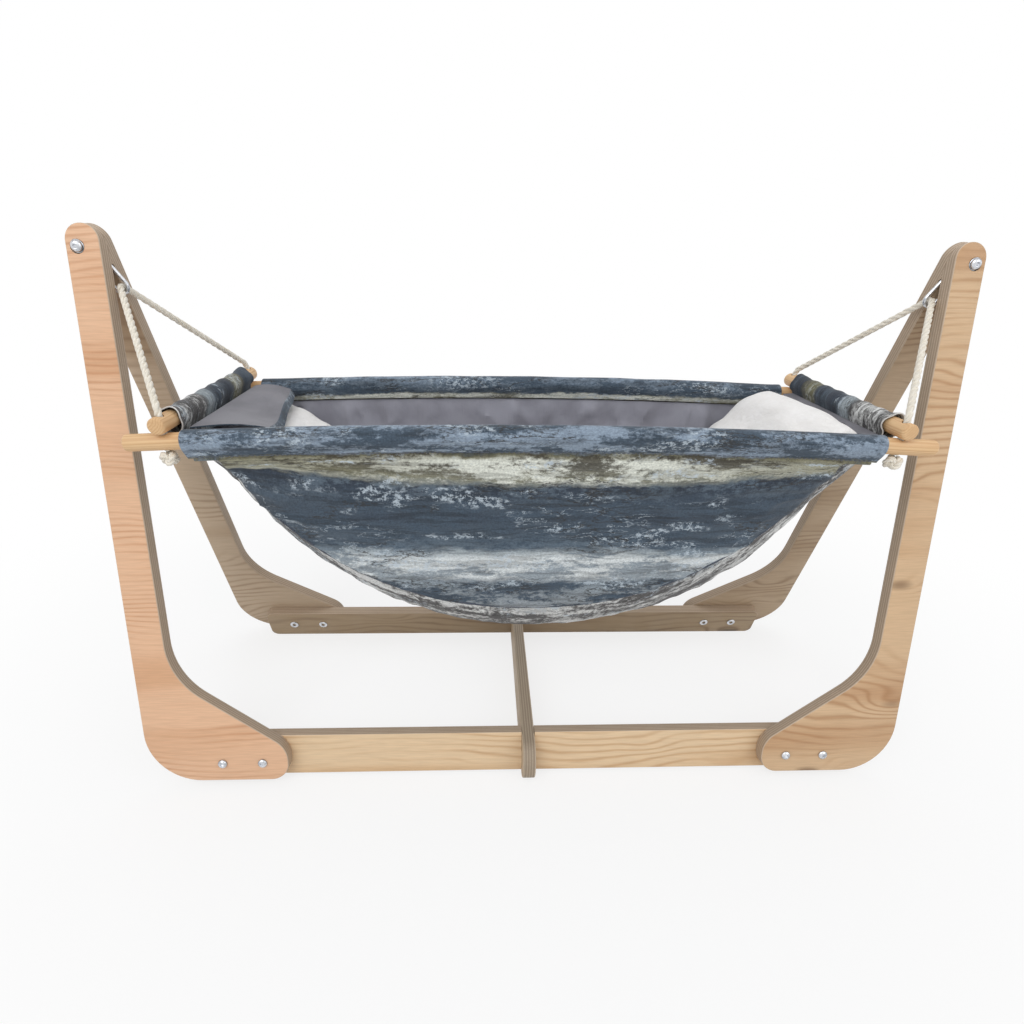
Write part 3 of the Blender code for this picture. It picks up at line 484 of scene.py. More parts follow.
        wide = s.plus(field_of(9.0, 20.0, 3.0, 0.6, 1.0), -0.5)
        ragged = s.plus(field_of(55.0, 150.0, 4.0, 0.7, 3.0), -0.5)
        shift = s.plus(s.times(wide, warp), s.times(ragged, s.times(warp, 0.9)))
        cloud = s.plus(s.times(field_of(13.0, 46.0, 5.0, 0.66, 5.0), 0.62),
                       s.times(field_of(130.0, 230.0, 5.0, 0.8, 6.0), 0.38))
        patch = s.remap(field_of(10.0, 38.0, 3.0, 0.6, 8.0), 0.535, 0.61)
        speck = s.remap(field_of(120.0, 190.0, 6.0, 0.85, 9.0), 0.51, 0.55)
        s.feed(out, {"Band": s.times(s.plus(s.split(place)[1], shift), BAND_SCALE),
                     "Cloud": s.remap(cloud, 0.465, 0.555),
                     "Streak": s.remap(field_of(12.0, 130.0, 4.0, 0.7, 21.0), 0.46, 0.60),
                     "Fleck": s.times(patch, speck),
                     "Crack": lines(17.0, 75.0, 0.020, 12.0),
                     "Scratch": lines(11.0, 40.0, 0.006, 31.0),
                     "Grit": field_of(420.0, 560.0, 4.0, 0.85, 17.0)})
        return s.tree

    def handling(self) -> bpy.types.NodeTree:
        """Uneven sheen from handling: broad smudges and fine scuffs.

        Returns:
            The group's tree.
        """
        s, given, out = self.start("handling", {"Smudge Size": 30.0}, ["Smudge", "Scuff"])
        s.feed(out, {"Smudge": s.noise(given["Vector"], given["Smudge Size"], 3.0),
                     "Scuff": s.noise(s.scaled(given["Vector"], (420.0, 1900.0, 420.0)))})
        return s.tree


EFFECTS = Effects()


def new_material(name: str) -> tuple[bpy.types.Material, Sketch, bpy.types.Node]:
    """A material with its nodes and its Principled shader.

    Args:
        name: Name of the material.

    Returns:
        The material, its nodes and the shader.
    """
    material = bpy.data.materials.new(name)
    material.use_nodes = True
    return material, Sketch(material.node_tree), material.node_tree.nodes["Principled BSDF"]


@dataclass(frozen=True)
class PlyFinish:
    """Clear-finished softwood plywood with its layered edges."""

    name: str
    light: Colour
    line: Colour
    board: Colour
    edge_light: Colour = srgb(190, 170, 148)
    edge_dark: Colour = srgb(164, 143, 122)
    worn_rim: Colour = srgb(236, 218, 196)
    seed: float = 0.0
    lines: float = 125.0
    waviness: float = 5.0
    knots: float = 1.0
    line_share: float = 0.62
    board_share: float = 0.75

    def make(self) -> bpy.types.Material:
        """Builds the material on the piece's own coordinates, z through the ply.

        Returns:
            The material.
        """
        material, s, shader = new_material(self.name)
        where = s.node("TexCoord").outputs
        vector = {"Vector": where["Object"]}
        grain = EFFECTS.place(s, "grain", vector | {"Seed": self.seed, "Lines": self.lines,
                                                    "Waviness": self.waviness,
                                                    "Knots": self.knots})
        layers = EFFECTS.place(s, "layers", vector)
        touch = EFFECTS.place(s, "handling", vector)
        face = s.mix(s.times(grain["Board"], self.board_share), self.light, self.board)
        face = s.mix(s.times(grain["Line"], self.line_share), face, self.line)
        face = s.mix(s.times(grain["Knot"], 0.75), face, darker(self.line, 0.35))
        face = s.tinted(face, s.remap(grain["Fibre"], 0.25, 0.75, 0.93, 1.05))
        edge = s.mix(layers["Veneer"], self.edge_light, self.edge_dark)
        edge = s.mix(s.times(layers["Glue"], 0.4), edge, darker(self.edge_dark, 0.6))
        edge = s.mix(s.remap(layers["Fuzz"], 0.3, 0.75, 0.0, 0.35), edge, self.edge_dark)
        facing = s.math("ABSOLUTE", s.split(where["Normal"])[2])
        colour = s.mix(s.remap(facing, 0.55, 0.92), edge, face)
        # Lighter colour along the rounded rims between the faces and the edges.
        rim = s.times(s.remap(facing, 0.2, 0.5), s.remap(facing, 0.97, 0.7))
        height = s.plus(s.times(grain["Line"], -0.5), s.times(grain["Fibre"], 0.35),
                        s.times(layers["Fuzz"], 0.15))
        s.feed(shader, {"Base Color": s.mix(s.times(rim, 0.28), colour, self.worn_rim),
                        "Roughness": s.remap(touch["Smudge"], 0.3, 0.7, 0.44, 0.60),
                        "Normal": s.bump(height, 0.00022), "Specular IOR Level": 0.35})
        return material


@dataclass(frozen=True)
class DowelFinish:
    """Sanded pine round bar: streaks along it and growth rings on its ends."""

    name: str
    light: Colour = srgb(224, 188, 142)
    dark: Colour = srgb(196, 150, 104)
    pith: tuple[float, float] = (-0.013, 0.009)
    seed: float = 0.0

    def make(self) -> bpy.types.Material:
        """Builds the material on the stored grain coordinates, x along the bar.

        Returns:
            The material.
        """
        material, s, shader = new_material(self.name)
        place = s.node("Attribute", attribute_name="grain").outputs["Vector"]
        _, y, z = s.split(place)
        shift = (self.seed, 0.0, 0.0)
        off = s.vector(0.0, s.plus(y, -self.pith[0]), s.plus(z, -self.pith[1]))
        ring = s.node("VectorMath", {0: off}, operation="LENGTH").outputs["Value"]
        warp = s.noise(s.scaled(place, (3.0, 60.0, 60.0), shift))
        phase = s.plus(s.times(ring, 430.0), s.times(warp, 2.6))
        wave = s.math("SINE", s.times(phase, math.tau))
        line = s.math("POWER", s.remap(wave, -1.0, 1.0), 2.5)
        streak = s.noise(s.scaled(place, (14.0, 700.0, 700.0), shift), 1.0, 3.0)
        touch = EFFECTS.place(s, "handling", {"Vector": place, "Smudge Size": 22.0})
        tone = s.plus(s.times(line, 0.42), s.times(s.remap(streak, 0.35, 0.7), 0.30))
        soil = s.remap(touch["Smudge"], 0.45, 0.75, 0.0, 0.3)
        s.feed(shader, {"Base Color": s.mix(soil, s.mix(tone, self.light, self.dark), self.dark),
                        "Roughness": s.remap(touch["Smudge"], 0.3, 0.7, 0.42, 0.58),
                        "Normal": s.bump(s.plus(line, s.times(streak, 1.5)), 0.00012)})
        return material


@dataclass(frozen=True)
class SteelFinish:
    """Zinc-bright steel with turning marks and faint smudges."""

    name: str = "bright_zinc_steel"
    colour: Colour = srgb(214, 216, 220)
    dark: Colour = srgb(150, 154, 160)

    def make(self) -> bpy.types.Material:
        """Builds the material on the piece's own coordinates.

        Returns:
            The material.
        """
        material, s, shader = new_material(self.name)
        place = s.node("TexCoord").outputs["Object"]
        touch = EFFECTS.place(s, "handling", {"Vector": place, "Smudge Size": 260.0})
        smudge = s.remap(touch["Smudge"], 0.4, 0.7, 0.0, 0.7)
        s.feed(shader, {"Base Color": s.mix(smudge, self.colour, self.dark), "Metallic": 1.0,
                        "Roughness": s.remap(touch["Scuff"], 0.3, 0.7, 0.16, 0.34),
                        "Normal": s.bump(touch["Scuff"], 0.000012)})
        return material


@dataclass(frozen=True)
class YarnFinish:
    """Twisted cotton: fibres along each strand and a little soil in soft patches."""

    name: str
    light: Colour
    dark: Colour
    fibres: float = 9.0

    def make(self) -> bpy.types.Material:
        """Builds the material on (turn, length) cloth coordinates.

        Returns:
            The material.
        """
        material, s, shader = new_material(self.name)
        place = s.node("UVMap", uv_map="cloth").outputs[0]
        fibre = s.noise(s.scaled(place, (self.fibres, 260.0, 1.0)), 1.0, 3.0, 0.6)
        soil = s.noise(s.scaled(place, (1.2, 30.0, 1.0)))
        colour = s.mix(s.remap(fibre, 0.35, 0.7, 0.0, 0.65), self.light, self.dark)
        colour = s.mix(s.remap(soil, 0.5, 0.75, 0.0, 0.4), colour, self.dark)
        s.feed(shader, {"Base Color": colour, "Sheen Weight": 0.25,
                        "Roughness": s.remap(fibre, 0.3, 0.7, 0.85, 0.98),
                        "Normal": s.bump(fibre, 0.0004)})
        return material



@dataclass(frozen=True)
class PrintFinish:
    """Canvas printed with weathered bands: base and accent colours by place across it."""

    name: str
    base: Stops
    accent: Stops
    amount: Stops
    seed: float = 0.0
    warp: float = 0.012
    fleck: Colour = srgb(188, 200, 210)
    crack: Colour = srgb(44, 42, 40)
    stretch: float = 0.29
    aged: Stops = ((0.0, 0.0), (0.10, 0.0))
    age_colour: Colour = srgb(124, 120, 94)

    def stops(self, pairs: Stops) -> list[tuple[float, Colour]]:
        """Ramp stops for colours or levels at places in metres across the print."""
        return [(place / self.stretch, mark if isinstance(mark, tuple) else (mark,) * 3 + (1.0,))
                for place, mark in pairs]

    def make(self) -> bpy.types.Material:
        """Builds the material on cloth coordinates in metres, bands along u.

        Returns:
            The material.
        """
        material, s, shader = new_material(self.name)
        place = s.node("UVMap", uv_map="cloth").outputs[0]
        ink = EFFECTS.place(s, "weathering", {"Vector": place, "Seed": self.seed,
                                              "Warp": self.warp})
        weave = EFFECTS.place(s, "weave", {"Vector": place})
        band = s.times(ink["Band"], 1 / (BAND_SCALE * self.stretch))
        base, accent, amount, aged = [s.ramp(band, self.stops(pairs)) for pairs in
                                      (self.base, self.accent, self.amount, self.aged)]
        far = s.math("ABSOLUTE", s.plus(s.split(place)[0], -0.02))
        base = s.mix(s.times(aged, s.remap(far, 0.07, 0.27)), base, self.age_colour)
        colour = s.mix(s.times(ink["Cloud"], amount), base, accent)
        grit = s.times(s.remap(ink["Grit"], 0.3, 0.7, 0.70, 1.26),
                       s.remap(ink["Streak"], 0.0, 1.0, 1.06, 0.72))
        colour = s.tinted(colour, grit)
        for mark, share, shade in (("Fleck", 0.78, self.fleck), ("Scratch", 0.5, self.fleck),
                                   ("Crack", 0.8, self.crack)):
            colour = s.mix(s.times(ink[mark], share), colour, shade)
        height = s.plus(s.times(weave["Height"], 0.35), s.times(weave["Slub"], 1.6))
        s.feed(shader, {"Base Color": colour, "Sheen Weight": 0.12,
                        "Roughness": s.remap(weave["Slub"], 0.15, 0.35, 0.80, 0.93),
                        "Normal": s.bump(height, 0.00016)})
        return material


@dataclass(frozen=True)
class PlainClothFinish:
    """Unprinted cloth: weave, slubs, soft shade changes and, for plush, a short nap."""

    name: str
    light: Colour
    dark: Colour
    nap: float = 0.0
    sheen: float = 0.2

    def make(self) -> bpy.types.Material:
        """Builds the material on cloth coordinates and, for the nap, on the piece's own.

        Returns:
            The material.
        """
        material, s, shader = new_material(self.name)
        place = s.node("UVMap", uv_map="cloth").outputs[0]
        solid = s.node("TexCoord").outputs["Object"]
        weave = EFFECTS.place(s, "weave", {"Vector": solid if self.nap else place,
                                           "Threads": 1300.0})
        cloud = s.noise(solid, 26.0, 3.0)
        fuzz = s.noise(solid, 1100.0, 3.0, 0.7)
        tuft = s.noise(solid, 190.0, 3.0, 0.6)
        pattern = s.mix(self.nap, weave["Slub"], tuft)
        tone = s.plus(s.remap(cloud, 0.35, 0.7, 0.0, 0.55), s.remap(pattern, 0.2, 0.7, 0.0, 0.4))
        flat = s.plus(s.times(weave["Height"], 0.3), weave["Slub"])
        soft = s.plus(s.times(tuft, 2.2), fuzz)
        normal = s.bump(s.mix(self.nap, flat, soft), 0.0002 + 0.0005 * self.nap)
        s.feed(shader, {"Base Color": s.mix(tone, self.light, self.dark), "Normal": normal,
                        "Roughness": s.remap(fuzz, 0.3, 0.7, 0.86, 0.98),
                        "Sheen Weight": self.sheen})
        return material


NAVY, NIGHT, SLATE = srgb(62, 76, 90), srgb(40, 49, 62), srgb(98, 113, 126)
FROST, MIST, PALE = srgb(156, 172, 190), srgb(156, 166, 172), srgb(206, 211, 212)
CREAM, OLIVE, BARK = srgb(210, 212, 202), srgb(104, 101, 76), srgb(62, 57, 44)
SOOT, CHALK = srgb(74, 72, 72), srgb(212, 213, 212)

LONG_PRINT = PrintFinish(
    "printed_canvas_long",
    base=((0.0, CREAM), (0.0055, CREAM), (0.0075, NAVY), (0.058, NAVY), (0.062, OLIVE),
          (0.066, CREAM), (0.088, CREAM), (0.094, NIGHT), (0.118, NAVY), (0.162, NAVY),
          (0.168, MIST), (0.178, PALE), (0.200, PALE), (0.209, NAVY), (0.242, NAVY),
          (0.29, NIGHT)),
    accent=((0.0, OLIVE), (0.006, OLIVE), (0.010, SLATE), (0.030, FROST), (0.058, FROST),
            (0.062, BARK), (0.074, BARK), (0.086, OLIVE), (0.096, SLATE), (0.125, NIGHT),
            (0.160, SLATE), (0.172, SLATE), (0.200, SLATE), (0.212, MIST), (0.29, CHALK)),
    amount=((0.0, 0.8), (0.010, 0.45), (0.030, 0.6), (0.056, 0.72), (0.062, 0.95),
            (0.080, 0.85), (0.092, 0.8), (0.10, 0.6), (0.15, 0.5), (0.17, 0.8), (0.20, 0.7),
            (0.21, 0.6), (0.245, 0.5), (0.29, 0.8)),
    aged=((0.0, 0.0), (0.058, 0.0), (0.064, 0.85), (0.088, 0.75), (0.095, 0.0)))
SHORT_PRINT = PrintFinish(
    "printed_canvas_short", seed=4.0, stretch=0.19,
    base=((0.0, SOOT), (0.056, SOOT), (0.062, MIST), (0.070, MIST), (0.078, NIGHT),
          (0.122, NIGHT), (0.128, OLIVE), (0.150, OLIVE), (0.156, NIGHT), (0.19, NIGHT)),
    accent=((0.0, CHALK), (0.052, CHALK), (0.074, SLATE), (0.088, NAVY), (0.120, SLATE),
            (0.130, CREAM), (0.150, BARK), (0.160, NAVY), (0.19, SLATE)),
    amount=((0.0, 1.1), (0.05, 1.0), (0.078, 0.6), (0.12, 0.4), (0.13, 0.85), (0.15, 0.8),
            (0.16, 0.45), (0.19, 0.5)))


# Mesh making
def placed(name: str, data: bpy.types.ID, matrix: Matrix | None = None) -> bpy.types.Object:
    """Puts an object with the given data in the scene.

    Args:
        name: Name of the object.
        data: Its mesh, curve, camera or lamp.
        matrix: Its place.

    Returns:
        The new object.
    """
    obj = bpy.data.objects.new(name, data)
    bpy.context.scene.collection.objects.link(obj)
    obj.matrix_world = matrix or Matrix.Identity(4)
    return obj


def shown(name: str, mesh: bpy.types.Mesh, material: bpy.types.Material, sharp: float = 40.0,
          matrix: Matrix | None = None) -> bpy.types.Object:
    """Puts a mesh in the scene with its finish and its smooth shading.

    Args:
        name: Name of the piece.
        mesh: Its mesh.
        material: Its finish.
        sharp: Angle in degrees above which an edge stays sharp.
        matrix: Its place.

    Returns:
        The piece.
    """
    mesh.materials.clear()
    mesh.materials.append(material)
    mesh.shade_smooth()
    mesh.set_sharp_from_angle(angle=math.radians(sharp))
    return placed(name, mesh, matrix)


def mesh_object(name: str, verts: np.ndarray | list, faces: list, material: bpy.types.Material,
                uvs: np.ndarray | None = None, sharp: float = 40.0,
                matrix: Matrix | None = None) -> bpy.types.Object:
    """Makes a smooth-shaded piece from points and faces.

    Args:
        name: Name of the piece.
        verts: Points.
        faces: Point indices of each face.
        material: Finish of the piece.
        uvs: Cloth coordinates of each point.
        sharp: Angle in degrees above which an edge stays sharp.
        matrix: Place of the piece.

    Returns:
        The piece.
    """
    mesh = bpy.data.meshes.new(name)
    mesh.from_pydata([tuple(map(float, v)) for v in verts], [], faces)
    if uvs is not None:
        layer = mesh.uv_layers.new(name="cloth")
        index = np.empty(len(mesh.loops), dtype=np.int32)
        mesh.loops.foreach_get("vertex_index", index)
        layer.data.foreach_set("uv", np.asarray(uvs, dtype=np.float32)[index].ravel())
    return shown(name, mesh, material, sharp, matrix)


def mend(mesh: bpy.types.Mesh, weld: float = 0.0) -> bpy.types.Mesh:
    """Turns a mesh's faces outward.

    Args:
        mesh: The mesh.
        weld: Distance under which points are first welded, if any.

    Returns:
        The same mesh.
    """
    bm = bmesh.new()
    bm.from_mesh(mesh)
    if weld:
        bmesh.ops.remove_doubles(bm, verts=bm.verts, dist=weld)
        bmesh.ops.dissolve_degenerate(bm, edges=bm.edges, dist=weld / 4)
    bmesh.ops.recalc_face_normals(bm, faces=bm.faces)
    bm.to_mesh(mesh)
    bm.free()
    return mesh


def settled(obj: bpy.types.Object) -> bpy.types.Mesh:
    """Copy of the mesh that an object's modifiers or curve settings make.

    Args:
        obj: The object.

    Returns:
        The copy.
    """
    bpy.context.view_layer.update()
    graph = bpy.context.evaluated_depsgraph_get()
    return bpy.data.meshes.new_from_object(obj.evaluated_get(graph), depsgraph=graph)


def evaluated(obj: bpy.types.Object) -> bpy.types.Mesh:
    """Mesh that an object's modifiers or curve settings make.

    Args:
        obj: The object, which is removed.

    Returns:
        The mesh, mended.
    """
    mesh = settled(obj)
    bpy.data.objects.remove(obj, do_unlink=True)
    return mend(mesh, 0.000004)


def finish_piece(obj: bpy.types.Object, body: Body, slot: str, *nodes: str) -> None:
    """Ties a piece to its body and hides the nodes that it stands for.

    Args:
        obj: The piece.
        body: The body that it rides on.
        slot: The record's material slot for its finish; not used.
        *nodes: The nodes that it replaces.
    """
    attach(obj, body.value)
    if nodes:
        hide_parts(*nodes)
    LOG.info("%s: %d faces on %s", obj.name, len(obj.data.polygons), body.value)


def rounded_corner(corner: Vector, before: Vector, after: Vector, radius: float,
                   steps: int) -> list[Vector]:
    """Points of the arc that rounds a line's corner.

    Args:
        corner: The corner.
        before: A point on the line before it.
        after: A point on the line after it.
        radius: Radius of the arc.
        steps: Steps along the arc.

    Returns:
        The arc's points.
    """
    back, ahead = (before - corner).normalized(), (after - corner).normalized()
    half_angle = back.angle(ahead) / 2
    centre = corner + (back + ahead).normalized() * (radius / math.sin(half_angle))
    reach = radius / math.tan(half_angle)
    first, last = corner + back * reach - centre, corner + ahead * reach - centre
    axis, turn = first.cross(last).normalized(), first.angle(last)
    return [centre + Matrix.Rotation(turn * step / steps, 3, axis) @ first
            for step in range(steps + 1)]


def rounded_outline(corners: list[tuple[float, float, float]], steps: int = 14) -> list[Vector]:
    """A polygon whose corners are rounded by arcs.

    Args:
        corners: Corners as (x, y, radius).
        steps: Steps round each corner.

    Returns:
        The outline's points.
    """
    spots = [Vector((x, y, 0)) for x, y, _ in corners]
    return [point for index, (_, _, radius) in enumerate(corners)
            for point in rounded_corner(spots[index], spots[index - 1],
                                        spots[(index + 1) % len(spots)], radius, steps)]


def stadium(start: float, end: float, radius: float, steps: int = 16) -> list[Vector]:
    """Two half rings along x joined by straight runs.

    Args:
        start: Middle of the first half ring.
        end: Middle of the second.
        radius: Their radius.
        steps: Steps round each.

    Returns:
        The outline's points.
    """
    half = [math.pi * (step / steps - 0.5) for step in range(steps + 1)]
    return ([Vector((start - radius * math.cos(a), -radius * math.sin(a), 0)) for a in half]
            + [Vector((end + radius * math.cos(a), radius * math.sin(a), 0)) for a in half])


def slab(outline: list[Vector], thickness: float, rounding: float,
         matrix: Matrix) -> bpy.types.Object:
    """A flat outline thickened evenly about its plane.

    Args:
        outline: The outline's points in x and y.
        thickness: Thickness of the slab.
        rounding: Radius of its rims.
        matrix: Its place.

    Returns:
        The slab.
    """
    curve = bpy.data.curves.new("slab", "CURVE")
    curve.dimensions, curve.fill_mode = "2D", "BOTH"
    spline = curve.splines.new("POLY")
    spline.points.add(len(outline) - 1)
    for point, spot in zip(spline.points, outline):
        point.co = (spot.x, spot.y, 0.0, 1.0)
    spline.use_cyclic_u = True
    curve.extrude = thickness / 2 - rounding
    if rounding:
        curve.bevel_depth, curve.bevel_resolution, curve.offset = rounding, 2, -rounding
    return placed("slab", evaluated(placed("slab", curve)), matrix)


def cutter(size: tuple[float, ...], matrix: Matrix) -> bpy.types.Object:
    """A plain solid that cuts another piece.

    Args:
        size: (x, y, z) of a box, or (radius, length) of a cylinder.
        matrix: Its place.

    Returns:
        The cutter.
    """
    bm = bmesh.new()
    if len(size) == 3:
        bmesh.ops.create_cube(bm, size=1.0, matrix=Matrix.Diagonal((*size, 1.0)))
    else:
        bmesh.ops.create_cone(bm, cap_ends=True, segments=40, radius1=size[0],
                              radius2=size[0], depth=size[1])
    mesh = bpy.data.meshes.new("cutter")
    bm.to_mesh(mesh)
    bm.free()
    return placed("cutter", mesh, matrix)


def cut_mesh(obj: bpy.types.Object, cutters: list[bpy.types.Object]) -> bpy.types.Mesh:
    """Cuts an object.

    Args:
        obj: The object, which is removed.
        cutters: What is taken off it, also removed.

    Returns:
        The mesh that is left.
    """
    for tool in cutters:
        modifier = obj.modifiers.new("cut", "BOOLEAN")
        modifier.operation, modifier.solver, modifier.object = "DIFFERENCE", "EXACT", tool
    mesh = evaluated(obj)
    for tool in cutters:
        bpy.data.objects.remove(tool, do_unlink=True)
    return mesh


def turned(profile: list[tuple], sides: int = 48) -> tuple[list, list]:
    """A solid turned about local Z.

    Args:
        profile: (radius, z) from one end to the other, both ends on the axis, with True
            after them where the solid is hexagonal.
        sides: Faces round the axis.

    Returns:
        Points and faces.
    """
    verts, rings = [], []
    for radius, z, *hexagonal in profile:
        ring = range(len(verts), len(verts) + (sides if radius else 1))
        for side in range(len(ring)):
            angle = math.tau * side / sides
            grow = 1 / math.cos(angle % (math.pi / 3) - math.pi / 6) if hexagonal else 1.0
            verts.append((radius * grow * math.cos(angle), radius * grow * math.sin(angle), z))
        rings.append(ring)
    faces = []
    for upper, lower in zip(rings, rings[1:]):
        for side in range(sides):
            after = (side + 1) % sides
            faces.append(list(dict.fromkeys((upper[side % len(upper)], lower[side % len(lower)],
                                             lower[after % len(lower)],
                                             upper[after % len(upper)]))))
    return verts, faces


def tube_rings(line: np.ndarray, out: np.ndarray, side: np.ndarray, reach: float,
               width: float, sides: int) -> np.ndarray:
    """Oval rings round a line.

    Args:
        line: Middle of each ring.
        out: First direction of each ring.
        side: Direction square to it and to the line.
        reach: Half size along out.
        width: Half size along side.
        sides: Points of each ring.

    Returns:
        The rings' points.
    """
    turn = (np.arange(sides) * math.tau / sides)[None, :, None]
    return (line[:, None] + out[:, None] * (reach * np.cos(turn))
            + side[:, None] * (width * np.sin(turn)))


def ring_surface(rings: np.ndarray, closed: bool, first: int = 0) -> list[list[int]]:
    """Faces of a tube through rings.

    Args:
        rings: Points of the rings, equally many in each.
        closed: True if the tube closes on itself, False to cap its ends.
        first: Index of the first point.

    Returns:
        The faces.
    """
    count, sides = rings.shape[:2]
    index = (first + np.arange(count * sides)).reshape(count, sides)
    near, far = (index, np.roll(index, -1, 0)) if closed else (index[:-1], index[1:])
    quads = np.stack([near, np.roll(near, -1, 1), np.roll(far, -1, 1), far], axis=-1)
    caps = [] if closed else [index[0, ::-1].tolist(), index[-1].tolist()]
    return quads.reshape(-1, 4).tolist() + caps


def arc_lengths(line: np.ndarray | list) -> np.ndarray:
    """Length along a line at each of its points."""
    steps = np.linalg.norm(np.diff(np.asarray(line), axis=0), axis=1)
    return np.concatenate([[0], np.cumsum(steps)])


def resample(points: np.ndarray, step: float, closed: bool = False) -> np.ndarray:
    """Points at an even step along a line.

    Args:
        points: The line.
        step: About the distance from point to point.
        closed: True if the line closes on itself.

    Returns:
        The points.
    """
    line = np.vstack([points, points[:1]]) if closed else points
    lengths = arc_lengths(line)
    count = max(int(round(lengths[-1] / step)), 2)
    at = np.linspace(0, lengths[-1], count + 1)[: count if closed else None]
    return np.stack([np.interp(at, lengths, line[:, axis]) for axis in range(3)], axis=1)


def unit(vectors: np.ndarray) -> np.ndarray:
    """The vectors at length one."""
    return vectors / np.maximum(np.linalg.norm(vectors, axis=-1, keepdims=True), 1e-12)


def frames_along(points: np.ndarray, closed: bool) -> tuple[np.ndarray, np.ndarray]:
    """Two untwisted normals along a line.

    Args:
        points: The line.
        closed: True if it closes on itself.

    Returns:
        The normals of each point, square to each other.
    """
    if closed:
        tangents = unit(np.roll(points, -1, axis=0) - np.roll(points, 1, axis=0))
    else:
        tangents = unit(np.gradient(points, axis=0))
    normals = [unit(np.cross(tangents[0], (0.3, 0.9, 0.31)))]
    for tangent in tangents[1:]:
        normals.append(unit(normals[-1] - tangent * np.dot(normals[-1], tangent)))
    normal = np.array(normals)
    across = np.cross(tangents, normal)
    if closed:
        last = normal[-1] - tangents[0] * np.dot(normal[-1], tangents[0])
        slip = math.atan2(np.dot(last, across[0]), np.dot(last, normal[0]))
        angle = -slip * np.arange(len(points)) / len(points)
        c, s = np.cos(angle)[:, None], np.sin(angle)[:, None]
        normal, across = normal * c + across * s, across * c - normal * s
    return normal, across


# Place and half sizes of a strand in a three-strand rope, by the rope's radius.
STRAND_OFFSET, STRAND_REACH, STRAND_WIDTH = 0.43, 0.4982, 0.5724


def laid_rope(name: str, points: np.ndarray, radius: float, pitch: float,
              material: bpy.types.Material, closed: bool = False) -> bpy.types.Object:
    """Three strands laid round a line.

    Args:
        name: Name of the piece.
        points: The rope's middle line.
        radius: Outer radius of the rope.
        pitch: Length of one full turn of a strand.
        material: Finish of the yarn.
        closed: True if the line closes on itself.

    Returns:
        The piece.
    """
    line = resample(points, 0.0012, closed)
    normal, across = frames_along(line, closed)
    step = np.linalg.norm(np.diff(line, axis=0), axis=1).mean()
    total = step * len(line)
    turns = max(round(total / pitch * 3), 1) / 3 if closed else total / pitch
    strands, sides = 3, 12
    if closed and round(turns * 3) % 3:
        # One strand runs round three times before it meets its own start.
        strands = 1
        line, normal, across = [np.vstack([rows] * 3) for rows in (line, normal, across)]
    length = np.arange(len(line)) * step
    verts, faces = [], []
    for strand in range(strands):
        angle = (math.tau * (turns * length / total + strand / 3))[:, None]
        out = normal * np.cos(angle) + across * np.sin(angle)
        side = across * np.cos(angle) - normal * np.sin(angle)
        rings = tube_rings(line + out * STRAND_OFFSET * radius, out, side,
                           STRAND_REACH * radius, STRAND_WIDTH * radius, sides)
        faces += ring_surface(rings, closed, strand * len(line) * sides)
        verts.append(rings.reshape(-1, 3))
    uvs = np.stack(np.meshgrid(np.arange(sides) / sides, length), axis=-1).reshape(-1, 2)
    return mesh_object(name, np.vstack(verts), faces, material, np.tile(uvs, (strands, 1)), 80)


def sheet_faces(rows: int, columns: int,
                keep: Callable[[int, int], bool] = lambda row, column: True) -> list[list[int]]:
    """Faces of a grid of points.

    Args:
        rows: Rows of the grid.
        columns: Columns of the grid.
        keep: Tells for a row and a column if that face is made.

    Returns:
        The faces.
    """
    return [[r * columns + c, r * columns + c + 1, (r + 1) * columns + c + 1,
             (r + 1) * columns + c]
            for r in range(rows - 1) for c in range(columns - 1) if keep(r, c)]


def point_normals(points: np.ndarray, quads: np.ndarray) -> np.ndarray:
    """Unit normals of the points of a quad sheet.

    Args:
        points: The sheet's points.
        quads: Its faces.

    Returns:
        The normals.
    """
    diagonals = np.cross(points[quads[:, 2]] - points[quads[:, 0]],
                         points[quads[:, 3]] - points[quads[:, 1]])
    normals = np.zeros_like(points)
    for corner in range(4):
        np.add.at(normals, quads[:, corner], diagonals)
    return unit(normals)


def cloth_piece(name: str, grid: list, uvs: list, faces: list[list[int]],
                thickness: float, material: bpy.types.Material,
                push: Callable[[np.ndarray, np.ndarray], np.ndarray] | None = None,
                rim: bpy.types.Material | None = None, flip: bool = False) -> bpy.types.Object:
    """A closed thin cloth, thickened on the normal side of a surface.

    Args:
        name: Name of the piece.
        grid: Points of the surface.
        uvs: Cloth coordinates in metres.
        faces: Quads of the surface.
        thickness: Thickness of the cloth.
        material: Finish of both faces.
        push: Distances along the normals, from points and cloth coordinates.
        rim: Finish of the cut edges.
        flip: True to turn the normals round.

    Returns:
        The piece.
    """
    quads = np.array(faces)[:, ::-1] if flip else np.array(faces)
    used = np.unique(quads)
    points, uvs = np.array(grid).reshape(-1, 3)[used], np.array(uvs).reshape(-1, 2)[used]
    quads = np.searchsorted(used, quads)
    normals = point_normals(points, quads)
    if push is not None:
        points = points + normals * push(points, uvs)[:, None]
        normals = point_normals(points, quads)
    count = len(points)
    verts = np.vstack([points, points + normals * thickness])
    edges: dict[frozenset[int], tuple[int, int] | None] = {}
    for quad in quads.tolist():
        for edge in zip(quad, quad[1:] + quad[:1]):
            key = frozenset(edge)
            edges[key] = None if key in edges else edge
    rims = [[b, a, a + count, b + count] for a, b in filter(None, edges.values())]
    sides = quads[:, ::-1].tolist() + (quads + count).tolist()
    obj = mesh_object(name, verts, sides + rims, material, np.vstack([uvs, uvs]), 50)
    if rim is not None:
        obj.data.materials.append(rim)
        for polygon in obj.data.polygons[len(sides):]:
            polygon.material_index = 1
    return obj


